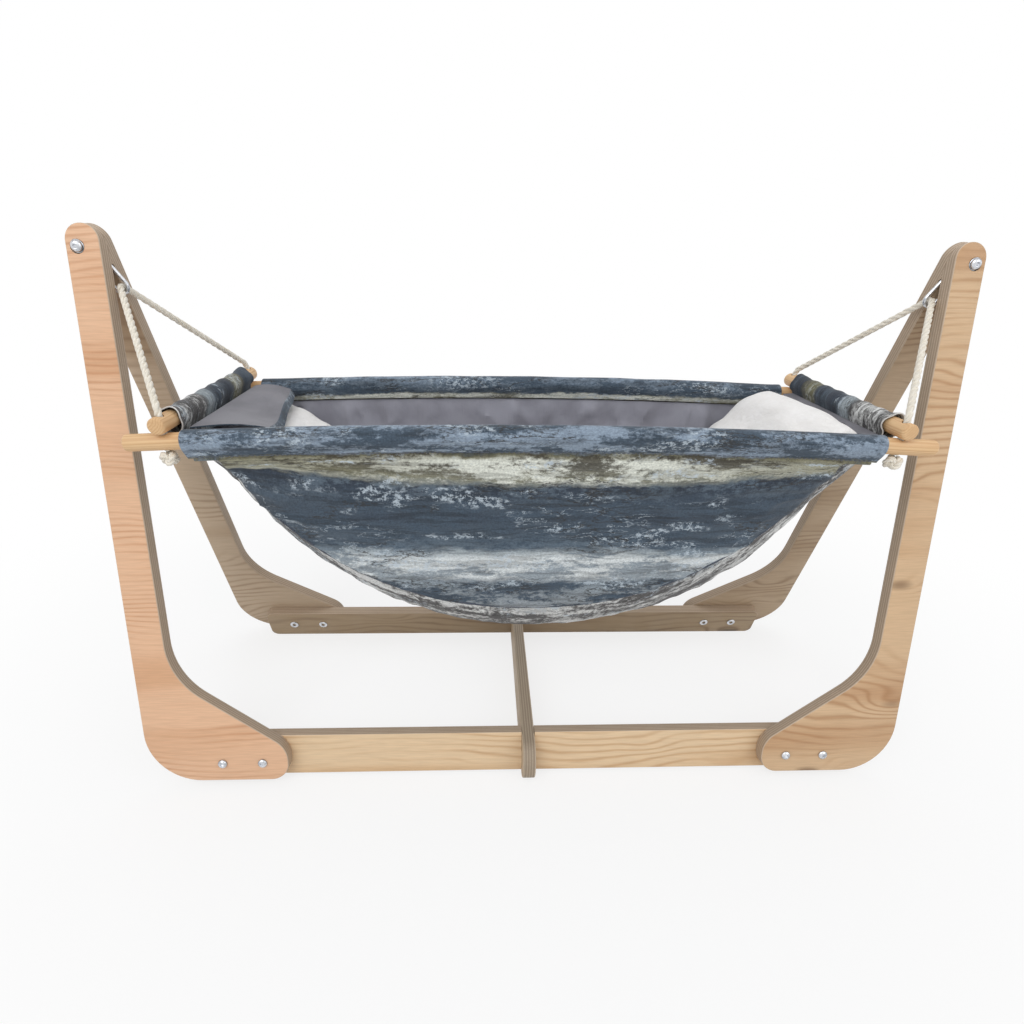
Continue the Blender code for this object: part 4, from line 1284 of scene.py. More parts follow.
def perlin(points: np.ndarray, scale: tuple[float, float, float], seed: float = 0.0) -> np.ndarray:
    """Smooth noise in about -1..1 at each point, by scaled coordinates."""
    return np.array([noise.noise(Vector(p)) for p in points * np.array(scale) + seed])


def stitches(name: str, line: np.ndarray, outward: np.ndarray,
             material: bpy.types.Material, length: float = 0.0034,
             pitch: float = 0.0046, radius: float = 0.00042) -> bpy.types.Object:
    """A row of thread stitches along a line, lying on the cloth.

    Args:
        name: Name of the piece.
        line: Points on the cloth.
        outward: Direction away from the cloth.
        material: Thread finish.
        length: Length of a stitch.
        pitch: Distance from stitch to stitch.
        radius: Radius of the thread.

    Returns:
        The piece.
    """
    spots, sides = resample(line, pitch), 6
    out = unit(outward)
    verts, faces = [], []
    profile = ((-0.5, 0.35), (-0.36, 0.9), (0.0, 1.0), (0.36, 0.9), (0.5, 0.35))
    for spot, along in zip(spots, unit(np.gradient(spots, axis=0))):
        side = np.cross(along, out)
        rings = np.array([[spot + along * length * t + out * (radius * (0.9 * w + math.sin(a) * w))
                           + side * radius * w * math.cos(a)
                           for a in np.arange(sides) * math.tau / sides] for t, w in profile])
        faces += ring_surface(rings, False, len(verts) * len(profile) * sides)
        verts.append(rings.reshape(-1, 3))
    uvs = np.stack(np.meshgrid(np.arange(sides) / sides, np.linspace(0, length, len(profile))),
                   axis=-1).reshape(-1, 2)
    return mesh_object(name, np.vstack(verts), faces, material, np.tile(uvs, (len(verts), 1)), 80)


# Sub-assemblies
@dataclass
class PlyStand:
    """Four legs, two rails and a half-lapped cross brace of plywood."""

    layout: Layout = LAYOUT
    foot_width: float = 0.0355
    top_width: float = 0.031
    bottom: float = 0.003
    heel_radius: float = 0.060
    knee_height: float = 0.130
    knee_radius: float = 0.080
    foot_length: float = 0.157
    foot_slope: float = math.radians(35.6)
    tip_upper_radius: float = 0.030
    tip_lower_radius: float = 0.020
    rounding: float = 0.0014
    top_flat: float = 0.0002
    rail_end_inset: float = 0.0445
    rail_height: float = 0.050
    rail_corner: float = 0.010
    rail_rounding: float = 0.0007
    brace_overhang: float = 0.0054
    brace_end_radius: float = 0.022
    spot_radius: float = 0.0065
    spot_length: float = 0.02
    planer: tuple[float, float, float] = (0.08, 0.04, 0.12)
    pocket_clearance: float = 0.0006
    over_cut: float = 0.02
    finishes: dict[str, PlyFinish] = field(default_factory=lambda: {
        "leg_front_left": PlyFinish("ply_pinkish", srgb(224, 182, 148), srgb(190, 136, 98),
                                    srgb(208, 160, 122), seed=1.0, lines=150.0, knots=0.0,
                                    waviness=12.0),
        "leg_front_right": PlyFinish("ply_tan", srgb(208, 176, 140), srgb(164, 120, 80),
                                     srgb(184, 142, 104), seed=5.0, lines=110.0, waviness=13.0),
        # The rear legs are darker, greyer copies of the ply finish: painted shade.
        "leg_rear_left": PlyFinish("ply_rear_left", srgb(188, 168, 144), srgb(142, 116, 90),
                                   srgb(166, 142, 114), seed=8.0, waviness=14.0, lines=95.0),
        "leg_rear_right": PlyFinish("ply_rear_right", srgb(180, 158, 132), srgb(124, 98, 72),
                                    srgb(154, 128, 100), seed=11.0, waviness=14.0, lines=95.0),
        "rail_front": PlyFinish("ply_rail_front", srgb(224, 196, 160), srgb(188, 146, 104),
                                srgb(204, 166, 124), seed=15.0, lines=90.0, waviness=9.0),
        # The rear rail and the brace, under the sling, are darker copies too: painted shade.
        "rail_rear": PlyFinish("ply_rail_rear", srgb(166, 145, 118), srgb(112, 88, 64),
                               srgb(146, 122, 94), seed=19.0, lines=90.0, waviness=9.0),
        "cross_brace": PlyFinish("ply_brace", srgb(184, 164, 138), srgb(150, 122, 92),
                                 srgb(166, 142, 112), edge_light=srgb(172, 156, 136),
                                 edge_dark=srgb(146, 130, 112), seed=23.0)})

    def leg_outline(self, hand: int) -> list[Vector]:
        """Outline of a leg with its foot.

        Args:
            hand: The side on which it stands along the panel's own x, -1 or 1.

        Returns:
            The outline's points in the panel's plane.
        """
        lay = self.layout
        inner_foot = lay.leg_outer_foot - self.foot_width
        inner_top = lay.leg_outer_top - self.top_width
        radius = self.top_width / 2 - self.top_flat
        tip = lay.leg_outer_foot - self.foot_length
        rise = self.knee_height - (inner_foot - tip) * math.tan(self.foot_slope)
        corners = [(lay.leg_outer_foot, self.bottom, self.heel_radius),
                   (lay.leg_outer_top, lay.leg_top, radius), (inner_top, lay.leg_top, radius),
                   (inner_foot, self.knee_height, self.knee_radius),
                   (tip, rise, self.tip_upper_radius), (tip, self.bottom, self.tip_lower_radius)]
        return rounded_outline([(hand * x, y, r) for x, y, r in corners])

    def apex_cutters(self, side: Side, end: End) -> list[bpy.types.Object]:
        """Planed face, washer seat and link pocket of a leg's top.

        Args:
            side: Front or rear.
            end: Left or right.

        Returns:
            The cutters.
        """
        lay = self.layout
        x = end.value * lay.apex_x
        across = Matrix.Rotation(math.pi / 2, 4, "X")
        plane = side.value * (lay.fit - self.planer[1]) / 2
        planed = cutter(self.planer, Matrix.Translation((x, plane, lay.apex_z)))
        seat = lay.apex_face_y - self.spot_radius * math.tan(lay.lean) + self.spot_length / 2
        spot = cutter((self.spot_radius, self.spot_length),
                      Matrix.Translation((x, side.value * seat, lay.apex_z)) @ across)
        outline = lay.link_outline(lay.link_wire / 2 + self.pocket_clearance, 16)
        pocket = slab(outline, lay.link_wire + 2 * self.pocket_clearance, 0.0,
                      lay.link_frame(end))
        return [planed, spot, pocket]

    def show(self, name: str, mesh: bpy.types.Mesh, place: Matrix, slot: str) -> None:
        """Shows a board in its finish, for the node of the same name."""
        piece = shown("ply_" + name, mesh, self.finishes[name].make(), 35, place)
        finish_piece(piece, Body.STAND, slot, name)

    def add_leg(self, side: Side, end: End) -> None:
        """Builds one leg.

        Args:
            side: Front or rear.
            end: Left or right.
        """
        name = f"leg_{side.name.lower()}_{end.name.lower()}"
        hand = -end.value if side is Side.REAR else end.value
        ply = self.layout.ply
        place = self.layout.panel_matrix(side) @ Matrix.Translation((0, 0, -ply / 2))
        leg = slab(self.leg_outline(hand), ply, self.rounding, place)
        mesh = cut_mesh(leg, self.apex_cutters(side, end))
        slot = {"leg_front_left": "leg_ply_pinkish",
                "leg_front_right": "leg_ply_tan"}.get(name, "ply_shaded")
        self.show(name, mesh, place, slot)

    def add_rail(self, side: Side) -> None:
        """Builds one rail with its slot for the brace.

        Args:
            side: Side of the stand.
        """
        lay, name = self.layout, "rail_" + side.name.lower()
        half = lay.leg_outer_foot - self.rail_end_inset
        height, corner = self.rail_height, self.rail_corner
        outline = rounded_outline([(half, 0, corner), (half, height, corner),
                                   (-half, height, corner), (-half, 0, corner)])
        place = lay.panel_matrix(side) @ Matrix.Translation((0, 0, -1.5 * lay.ply))
        rail = slab(outline, lay.ply - 2 * lay.fit, self.rail_rounding, place)
        notch = cutter((lay.ply + 2 * lay.fit, height, 2 * lay.ply),
                       place @ Matrix.Translation((0, height, 0)))
        self.show(name, cut_mesh(rail, [notch]), place,
                  "rail_ply" if side is Side.FRONT else "ply_shaded")

    def add_brace(self) -> None:
        """Builds the cross brace on edge over both rails."""
        lay = self.layout
        half = lay.foot_half_depth + self.brace_overhang
        height, radius = self.rail_height, self.brace_end_radius
        outline = rounded_outline([(half, 0, radius), (half, height, radius),
                                   (-half, height, radius), (-half, 0, radius)])
        place = Matrix(((0, 0, 1, 0), (1, 0, 0, 0), (0, 1, 0, 0), (0, 0, 0, 1)))
        brace = slab(outline, lay.ply, self.rounding, place)
        tall = height / 2 + lay.fit
        middle = Matrix.Translation((0, (tall - self.over_cut) / 2, -1.5 * lay.ply))
        notches = [cutter((2 * lay.ply, tall + self.over_cut, lay.ply + 2 * lay.fit),
                          lay.panel_matrix(side) @ middle) for side in Side]
        self.show("cross_brace", cut_mesh(brace, notches), place, "ply_shaded")

    def build(self) -> None:
        """Builds every plywood piece."""
        for side in Side:
            self.add_rail(side)
            for end in End:
                self.add_leg(side, end)
        self.add_brace()


@dataclass
class Fasteners:
    """Foot bolts and sleeve nuts, apex bolts with washers and cap nuts, hanging links."""

    layout: Layout = LAYOUT
    head_radius: float = 0.00525
    head_height: float = 0.0033
    socket_apothem: float = 0.002
    socket_depth: float = 0.0018
    foot_shank: float = 0.010
    foot_bolt_height: float = 0.025
    flange_radius: float = 0.00625
    flange_thickness: float = 0.0014
    flange_socket: float = 0.0025
    washer_radius: float = 0.006
    washer_thickness: float = 0.0015
    cap_radius: float = 0.00525
    cap_height: float = 0.0075
    outer_inset: float = 0.0835
    spacing: float = 0.045
    turn_by_place: float = 0.7 / 0.045
    seat_radius: float = 0.0065
    steel: SteelFinish = SteelFinish()

    def head(self, shank: float) -> tuple[list, list]:
        """A button head with a hexagon socket.

        Args:
            shank: Length of the shank down local -Z.

        Returns:
            Points and faces.
        """
        r, h, hexed, bolt = (self.head_radius, self.head_height, self.socket_apothem,
                             self.layout.bolt_radius)
        dome = [(r * math.sin(a), h * (0.18 + 0.82 * math.cos(a)))
                for a in map(math.radians, (34, 44, 54, 64, 74, 84))]
        top = h * (0.18 + 0.82 * math.cos(math.radians(28)))
        return turned([(0, top - self.socket_depth - 0.0004),
                       (hexed, top - self.socket_depth, True), (hexed, top - 0.0001, True),
                       (hexed + 0.00025, top, True), *dome, (r, h * 0.12), (r * 0.98, 0),
                       (bolt, 0), (bolt, -shank), (0, -shank)])

    def flange(self) -> tuple[list, list]:
        """Flange of a sleeve nut with a hexagon socket, facing local -Z.

        Returns:
            Points and faces.
        """
        r, t, hexed = self.flange_radius, self.flange_thickness, self.flange_socket
        sleeve = self.layout.bolt_radius * 1.4
        return turned([(0, 0.004), (sleeve, 0.004), (sleeve, 0), (r, 0), (r, -t * 0.6),
                       (r - 0.0004, -t * 0.92), (r - 0.0009, -t), (hexed + 0.0003, -t, True),
                       (hexed, -t + 0.0002, True), (hexed, 0.0012, True), (0, 0.0014)])

    def cap(self) -> tuple[list, list]:
        """A cap nut: hexagon below, dome above.

        Returns:
            Points and faces.
        """
        r, h = self.cap_radius, self.cap_height
        dome = [(r * 0.86 * math.sin(a), h * (0.42 + 0.58 * math.cos(a)))
                for a in map(math.radians, (18, 36, 54, 70, 84))]
        flats = r * math.cos(math.pi / 6)
        return turned([(0, h), *dome, (flats * 0.97, h * 0.45, True), (flats, h * 0.40, True),
                       (flats, h * 0.04, True), (flats * 0.97, 0, True), (0, 0)])

    def washer(self) -> tuple[list, list]:
        """A plain washer with eased rims, closed under the bolt head.

        Returns:
            Its points and faces.
        """
        r, t = self.washer_radius, self.washer_thickness
        return turned([(0, t), (r - 0.0003, t), (r, t - 0.0003), (r, 0.0002),
                       (r - 0.0002, 0), (0, 0)])

    def add(self, name: str, shape: tuple[list, list], matrix: Matrix,
            material: bpy.types.Material, sharp: float = 32.0) -> None:
        """Places one steel piece for the node of the same name."""
        piece = mesh_object("steel_" + name, *shape, material, None, sharp, matrix)
        finish_piece(piece, Body.STAND, "bright_steel", name)

    def add_link(self, end: End, material: bpy.types.Material) -> None:
        """Builds an oval link from its bent wire.

        Args:
            end: Left or right.
            material: Finish of the wire.
        """
        lay = self.layout
        line = resample(np.array(lay.link_outline(0.0, 24)), 0.0008, True)
        rings = tube_rings(line, *frames_along(line, True), lay.link_wire / 2,
                           lay.link_wire / 2, 16)
        self.add("hanging_link_" + end.name.lower(), (rings.reshape(-1, 3),
                 ring_surface(rings, True)), lay.link_frame(end), material, 80)

    def build(self) -> None:
        """Builds every fastener and link."""
        lay, steel = self.layout, self.steel.make()
        for side in Side:
            panel = lay.panel_matrix(side)
            for end in End:
                hand = -end.value if side is Side.REAR else end.value
                for row, inset in (("outer", self.outer_inset),
                                   ("inner", self.outer_inset + self.spacing)):
                    x = hand * (lay.leg_outer_foot - inset)
                    tag = f"{side.name.lower()}_{end.name.lower()}_{row}"
                    turn = Matrix.Rotation(self.turn_by_place * x, 4, "Z")
                    for word, shape, z in (("foot_bolt_", self.head(self.foot_shank), lay.fit),
                                           ("sleeve_nut_", self.flange(), -2 * lay.ply)):
                        spot = Matrix.Translation((x, self.foot_bolt_height, z))
                        self.add(word + tag, shape, panel @ spot @ turn, steel)
        seat = lay.apex_face_y - self.seat_radius * math.tan(lay.lean) + lay.fit
        top = seat + self.washer_thickness + lay.fit
        for end in End:
            x, word = end.value * lay.apex_x, end.name.lower()
            to_front = Matrix.Rotation(math.pi / 2, 4, "X")
            to_rear = Matrix.Rotation(-math.pi / 2, 4, "X")
            spots = (("apex_bolt_", self.head(2 * top), -top, to_front),
                     ("apex_washer_front_", self.washer(), -seat, to_front),
                     ("apex_washer_rear_", self.washer(), seat, to_rear),
                     ("apex_cap_nut_", self.cap(), top, to_rear))
            for name, shape, y, turn in spots:
                place = Matrix.Translation((x, y, lay.apex_z)) @ turn
                self.add(name + word, shape, place, steel)
            self.add_link(end, steel)


@dataclass
class RopePair:
    """Two three-strand cotton ropes over the links, with a knot under each corner."""

    layout: Layout = LAYOUT
    pitch: float = 0.0225
    knot_pitch: float = 0.019
    knot_reach: float = 0.00185
    knot_rise: float = 0.0036
    knot_drop: float = 0.0073
    yarn: YarnFinish = YarnFinish("cotton_yarn", srgb(244, 238, 226), srgb(208, 196, 174))

    def half(self, end: End, side: Side) -> list[Vector]:
        """Middle line from under a long dowel to the top of its bend on the link.

        Args:
            end: Left or right rope.
            side: Its front or rear half.

        Returns:
            The line's points.
        """
        lay = self.layout
        pull = Vector((end.value * lay.pull.x, 0, lay.pull.y))
        x, y = end.value * lay.half_length, side.value * lay.half_width
        bottom = Vector((x, y, lay.long_dowel_z - lay.dowel_radius - lay.fit))
        kink = Vector((x, y, lay.kink_z))
        wire = Vector((end.value * lay.apex_x, 0, lay.apex_z)) + pull * (lay.link_reach
                                                                         + lay.rope_over_wire)
        across, to_kink = Vector((0, side.value, 0)), kink - wire
        distance = math.hypot(to_kink.dot(pull), to_kink.dot(across))
        bearing = math.atan2(to_kink.dot(across), to_kink.dot(pull))
        tangent = bearing + math.acos(lay.rope_over_wire / distance)
        wrap = [wire + (pull * math.cos(a) + across * math.sin(a)) * lay.rope_over_wire
                for a in (tangent + (math.pi - tangent) * step / 12 for step in range(13))]
        return [bottom, *rounded_corner(kink, bottom, wrap[0], lay.bend_radius, 10), *wrap]

    def build(self) -> None:
        """Builds both ropes and the four knots."""
        lay, cotton = self.layout, self.yarn.make()
        for end in End:
            line = self.half(end, Side.FRONT) + self.half(end, Side.REAR)[::-1][1:]
            name = "rope_" + end.name.lower()
            piece = laid_rope("twisted_" + name, np.array(line), lay.rope_radius, self.pitch,
                              cotton)
            finish_piece(piece, Body.HAMMOCK, "cotton_rope", name)
            for side in Side:
                self.add_knot(side, end, cotton)

    def add_knot(self, side: Side, end: End, cotton: bpy.types.Material) -> None:
        """Builds the knot under one corner.

        Args:
            side: Front or rear.
            end: Left or right.
            cotton: Finish of the yarn.
        """
        lay = self.layout
        top = lay.long_dowel_z - lay.dowel_radius - 2 * lay.fit
        t = np.linspace(0, math.tau, 240, endpoint=False)
        a, rise = self.knot_reach, self.knot_rise
        line = np.stack([a * (np.sin(t) + 2 * np.sin(2 * t)), a * (np.cos(t) - 2 * np.cos(2 * t)),
                         -rise * np.sin(3 * t)], axis=1)
        angle = 0.9 * end.value + 0.5 * side.value
        turn = np.array(Matrix.Rotation(angle, 3, "Z"))
        centre = np.array((end.value * lay.half_length, side.value * lay.half_width,
                           top - self.knot_drop))
        node = f"rope_knot_{side.name.lower()}_{end.name.lower()}"
        piece = laid_rope("tied_" + node, line @ turn.T + centre, lay.rope_radius,
                          self.knot_pitch, cotton, True)
        finish_piece(piece, Body.HAMMOCK, "cotton_rope", node)


@dataclass
class DowelFrame:
    """Two long bowed dowels and two short ones, with eased ends and rope holes."""

    layout: Layout = LAYOUT
    long_overhang: float = 0.036
    short_overhang: float = 0.010
    end_radius: float = 0.0024
    hole_radius: float = 0.0041
    drill_length: float = 0.03
    sides: int = 48

    def bar(self, line: Callable[[float], Vector], half: float) -> tuple[np.ndarray, list]:
        """A round bar along a line.

        Args:
            line: The bar's axis, by place along it.
            half: Half its length.

        Returns:
            Points and faces.
        """
        r, e = self.layout.dowel_radius, self.end_radius
        ease = [(e * (1 - math.cos(a)), r - e + e * math.sin(a))
                for a in map(math.radians, (0, 15, 30, 45, 60, 75, 90))]
        stations = [(-half + depth, radius) for depth, radius in ease]
        stations += [(x, r) for x in np.linspace(-half + e, half - e, 41)[1:-1]]
        stations += [(half - depth, radius) for depth, radius in reversed(ease)]
        turn = np.arange(self.sides) * math.tau / self.sides
        rings = []
        for at, radius in stations:
            centre, ahead = line(at), (line(at + 0.001) - line(at - 0.001)).normalized()
            side = ahead.cross(Vector((0, 0, 1))).normalized()
            up = side.cross(ahead)
            rings.append([centre + side * (radius * math.cos(a)) + up * (radius * math.sin(a))
                          for a in turn])
        rings = np.array(rings)
        return rings.reshape(-1, 3), ring_surface(rings, False)

    def add(self, name: str, line: Callable[[float], Vector], half: float,
            holes: list[Vector], along_x: bool, finish: DowelFinish) -> None:
        """Builds one dowel with its rope holes and its grain coordinates.

        Args:
            name: The dowel's node.
            line: Its axis, by place along it.
            half: Half its length.
            holes: Middles of its rope holes.
            along_x: True if it lies along X, False along Y.
            finish: Its finish.
        """
        material = finish.make()
        obj = mesh_object("bar", *self.bar(line, half), material)
        mesh = cut_mesh(obj, [cutter((self.hole_radius, self.drill_length),
                                     Matrix.Translation(hole)) for hole in holes])
        grain = mesh.attributes.new("grain", "FLOAT_VECTOR", "POINT")
        for vert, value in zip(mesh.vertices, grain.data):
            at = vert.co.x if along_x else vert.co.y
            off = vert.co - line(at)
            value.vector = (at, off.y if along_x else off.x, off.z)
        piece = shown("pine_" + name, mesh, material, 40)
        finish_piece(piece, Body.HAMMOCK, "dowel_wood", name)

    def build(self) -> None:
        """Builds the four dowels."""
        lay = self.layout
        x, y = lay.half_length, lay.half_width
        for index, side in enumerate(Side):
            def bowed(at: float, side: Side = side) -> Vector:
                """Axis of a long dowel at a place along X."""
                return Vector((at, side.value * y, lay.long_dowel_z + lay.bow(at)))
            holes = [Vector((end * x, side.value * y, lay.long_dowel_z)) for end in (-1, 1)]
            self.add("dowel_" + side.name.lower(), bowed, x + self.long_overhang, holes, True,
                     DowelFinish(f"pine_{side.name.lower()}", seed=3.0 * index))
        for index, end in enumerate(End):
            def level(at: float, end: End = end) -> Vector:
                """Axis of a short dowel at a place along Y."""
                return Vector((end.value * x, at, lay.short_dowel_z))
            holes = [Vector((end.value * x, s * y, lay.short_dowel_z)) for s in (-1, 1)]
            self.add("dowel_" + end.name.lower(), level, y + self.short_overhang, holes, False,
                     DowelFinish(f"pine_{end.name.lower()}", seed=11.0 + 3.0 * index))


@dataclass
class Sling:
    """Printed cloths over the dowels, the belly cloth, the grey lining and the seams."""

    layout: Layout = LAYOUT
    clearance: float = 0.0004
    sleeve_thickness: float = 0.0012
    cloth: float = 0.0015
    lining: float = 0.0012
    gap: float = 0.0005
    belly_depth: float = 0.268
    belly_shift: float = 0.006
    belly_power: float = 2.2
    fullness_left: float = 0.75
    fullness_right: float = 0.57
    strip_inset: float = 0.016
    seam_depth: float = 0.185
    seam_shift: float = -0.002
    seam_inset: float = 0.044
    bulge: float = 0.004
    long_sleeve_inset: float = 0.017
    short_sleeve_half: float = 0.089
    panel_inset: float = 0.005
    flare_length: float = 0.020
    facing: float = 0.010
    loose_level: float = 0.402
    flap_start: tuple[float, float] = (-0.3295, 0.4082)
    flap_width: float = 0.169
    flap_long: float = 0.083
    flap_short: float = 0.047
    flap_hem: float = 0.86
    strip_start: tuple[float, float] = (0.3372, 0.4064)
    strip_width: float = 0.172
    strip_reach: float = 0.0125
    strip_drop: float = 0.0022
    cord_radius: float = 0.0017
    cord_pitch: float = 0.0060
    stitch_half: float = 0.318
    stitch_out: float = 0.0030
    columns: int = 220
    wall_rows: int = 44
    strip_rows: int = 44
    thread: YarnFinish = YarnFinish("sewing_thread", srgb(86, 92, 104), srgb(60, 66, 78), 4.0)
    raw_edge: YarnFinish = YarnFinish("cut_cloth_edge", srgb(226, 226, 224), srgb(182, 182, 182),
                                      60.0)
    lining_finish: PlainClothFinish = PlainClothFinish("grey_lining_cloth", srgb(153, 153, 163),
                                                       srgb(122, 121, 130))
    flap_finish: PlainClothFinish = PlainClothFinish("grey_flap_cloth", srgb(117, 116, 123),
                                                     srgb(88, 87, 94))

    @property
    def short_seam_z(self) -> float:
        """Height of the seams under the short dowels."""
        return self.layout.short_dowel_z - self.layout.sleeve_drop

    @property
    def long_seam_z(self) -> float:
        """Height of the seams under the long dowels at their crossings."""
        return self.layout.long_dowel_z - self.layout.sleeve_drop

    @property
    def strip_half(self) -> float:
        """Half width of the belly cloth."""
        return self.layout.half_width - self.strip_inset

    def swell(self, share: float, fullness: float) -> float:
        """Depth of a hanging curve as a share of its greatest depth."""
        return max(1 - abs(share) ** self.belly_power, 0.0) ** fullness

    def keel(self, s: float) -> tuple[float, float]:
        """A point of the belly's middle line.

        Args:
            s: Place along the hammock, -1 to 1.

        Returns:
            Its x and z.
        """
        x = self.layout.half_length * s + self.belly_shift * (1 - s * s)
        full = self.fullness_right if s > 0 else self.fullness_left
        return x, self.short_seam_z - self.layout.fit - self.belly_depth * self.swell(s, full)

    def rim_z(self, x: float) -> float:
        """Height of the side walls' upper edges at x."""
        return self.long_seam_z + self.layout.bow(x) - self.layout.fit

    def edge_z(self, x: float) -> float:
        """Height of the belly cloth's long edges.

        Args:
            x: Place along the hammock.

        Returns:
            The height.
        """
        half = self.layout.half_length
        share = (x - self.seam_shift) / (half - self.seam_inset)
        lift = (self.short_seam_z - self.long_seam_z) * (x / half) ** 12
        return self.rim_z(x) + lift - self.seam_depth * self.swell(share, self.fullness_left)

    def belly_point(self, s: float, y: float) -> tuple[float, float, float]:
        """Inner face of the belly cloth at s along it and y across it."""
        x, z = self.keel(s)
        return x, y, z + (self.edge_z(x) - z) * (y / self.strip_half) ** 2

    def wall_point(self, x: float, w: float, side: Side) -> tuple[float, float, float]:
        """A point of a side wall's inner face.

        Args:
            x: Place along the hammock.
            w: Place from the wall's rim, 0, to its seam, 1.
            side: Front or rear wall.

        Returns:
            The point.
        """
        top = self.rim_z(x)
        bottom = min(self.edge_z(x), top - 0.002)
        y = self.layout.half_width - self.strip_inset * w + self.bulge * math.sin(math.pi * w)
        return x, side.value * y, top + (bottom - top) * w

    def stations(self) -> list[float]:
        """Shares of the half length, closer together where the sling is steep."""
        return [math.sin(math.pi / 2 * (2 * i / self.columns - 1))
                for i in range(self.columns + 1)]

    @staticmethod
    def ripple(points: np.ndarray) -> np.ndarray:
        """Slow creases that every layer of the sling shares."""
        slow = perlin(points, (13.0, 17.0, 34.0)) * 0.0017
        return slow + perlin(points, (34.0, 40.0, 70.0), 5.0) * 0.0006

    def tube(self, count: int = 26) -> list[tuple[float, float]]:
        """Profile of the cloth round a dowel, from its inner hem to its outer seam.

        Args:
            count: Points round the dowel.

        Returns:
            How far out and how far up from the dowel's axis each point lies.
        """
        radius = self.layout.dowel_radius + self.clearance
        fold = self.layout.sleeve_drop / (1 + self.sleeve_thickness / radius)
        spread = math.acos(radius / fold)
        limit = math.pi - spread
        hem, seam = (-0.0030, -fold + 0.0004), (0.0, -fold)
        inner = (-radius * math.sin(limit), radius * math.cos(limit))
        outer = (radius * math.sin(limit), inner[1])
        path = [(hem[0] + (inner[0] - hem[0]) * t / 5, hem[1] + (inner[1] - hem[1]) * t / 5)
                for t in range(5)]
        path += [(radius * math.sin(a), radius * math.cos(a))
                 for a in np.linspace(-limit, limit, count)]
        return path + [(outer[0] + (seam[0] - outer[0]) * t / 5,
                        outer[1] + (seam[1] - outer[1]) * t / 5) for t in range(1, 6)]

    def add_long_cloth(self, side: Side, material: bpy.types.Material,
                       edge: bpy.types.Material) -> None:
        """One cloth round a long dowel and down to the lower seam.

        Args:
            side: Front or rear.
            material: The printed cloth.
            edge: Its cut edges.
        """
        lay = self.layout
        half_sleeve = lay.half_length - self.long_sleeve_inset
        half_panel = half_sleeve - self.panel_inset
        panel_x = [half_panel * math.sin(math.pi / 2 * t) for t in np.linspace(-1, 1, 181)]
        panel_x = [x + self.seam_shift * (1 - abs(x) / half_panel) for x in panel_x]
        extra = list(np.linspace(half_panel, half_sleeve, 9)[1:])
        xs = [-x for x in reversed(extra)] + panel_x + extra
        path = self.tube()
        arcs = arc_lengths(path)
        rows, uvs = [], []
        for (out, up), arc in zip(path, arcs):
            row = []
            for x in xs:
                flare = max((abs(x) - half_sleeve) / self.flare_length + 1, 0.0)
                grow = 1 + 0.05 * flare ** 2 * (1 + 0.5 * math.sin(40 * arc * 10 + x))
                row.append((x, side.value * (lay.half_width + out * grow),
                            lay.long_dowel_z + lay.bow(x) + up * grow))
            rows.append(row)
            uvs.append([(x, arc) for x in xs])
        for index in range(1, self.wall_rows + 1):
            w = index / self.wall_rows
            rows.append([self.wall_point(x, w * 0.998, side) for x in xs])
            depth = [w * (self.rim_z(x) - self.edge_z(x)) for x in xs]
            lifts = [0.030 * min(abs(x) / 0.3, 1.0) ** 2.2 * (0.8 if x > 0 else 1.0) for x in xs]
            uvs.append([(x, arcs[-1] + d + r * min(d / 0.012, 1.0)
                         * math.exp(-((d - 0.012) / 0.035) ** 2))
                        for x, d, r in zip(xs, depth, lifts)])
        first, last = len(extra), len(xs) - len(extra) - 1
        faces = sheet_faces(len(rows), len(xs),
                            lambda r, c: r < len(path) - 1 or first <= c < last)

        def push(at: np.ndarray, cloth_uv: np.ndarray) -> np.ndarray:
            """Creases of the wall and soft rolls of the sleeve.

            Args:
                at: Points of the sheet.
                cloth_uv: Their places on the flat cloth.

            Returns:
                How far each point moves along its normal.
            """
            on_wall = np.clip((cloth_uv[:, 1] - arcs[-1]) / 0.015, 0, 1)
            creases = np.abs(perlin(at, (22.0, 12.0, 60.0), 11.0 + side.value))
            tension = np.abs(perlin(np.stack([at[:, 0] + at[:, 2] * np.sign(at[:, 0]) * 1.2,
                                              at[:, 1], at[:, 2] * 0.25], axis=1),
                                    (26.0, 5.0, 20.0), 3.0))
            roll = perlin(at, (30.0, 60.0, 60.0), 7.0) * 0.00045
            return (on_wall * (self.ripple(at) + 0.0022 * (0.35 - creases).clip(0) / 0.35
                               + 0.0016 * (0.3 - tension).clip(0) / 0.3)
                    + (1 - on_wall) * (roll + 0.0004))

        name = side.name.lower()
        piece = cloth_piece(f"{name}_cloth", rows, uvs, faces, self.cloth * 0.8, material, push,
                            edge, side is Side.FRONT)
        finish_piece(piece, Body.HAMMOCK, "printed_cloth", f"sleeve_{name}", f"side_panel_{name}")

    def belly_path(self) -> tuple[list[tuple[float, float]], list[float | None]]:
        """Profile of the belly cloth from hem to hem over both short dowels.

        Returns:
            Its points (x, z), and each one's place along the belly where it lies on it.
        """
        lay, stations = self.layout, self.stations()
        middle = [self.keel(s) for s in stations]
        path = self.tube()
        lift, start = self.gap + self.lining + 0.0012, 0.004
        over: dict[End, list[tuple[float, float]]] = {}
        for end in End:
            turns = [(end.value * (lay.half_length + out), lay.short_dowel_z + up)
                     for out, up in path]
            inner = middle if end is End.LEFT else middle[::-1]
            face = []
            for a, b, arc in zip(inner, inner[1:], arc_lengths(inner)[1:]):
                if start < arc < self.facing + start:
                    ahead = Vector((b[0] - a[0], b[1] - a[1])).normalized() * -end.value
                    face.append((a[0] - ahead.y * lift, a[1] + ahead.x * lift))
            over[end] = face[::-1] + turns
        left, right = over[End.LEFT], over[End.RIGHT][::-1]
        full = left + middle[1:-1] + right
        return full, [None] * len(left) + stations[1:-1] + [None] * len(right)

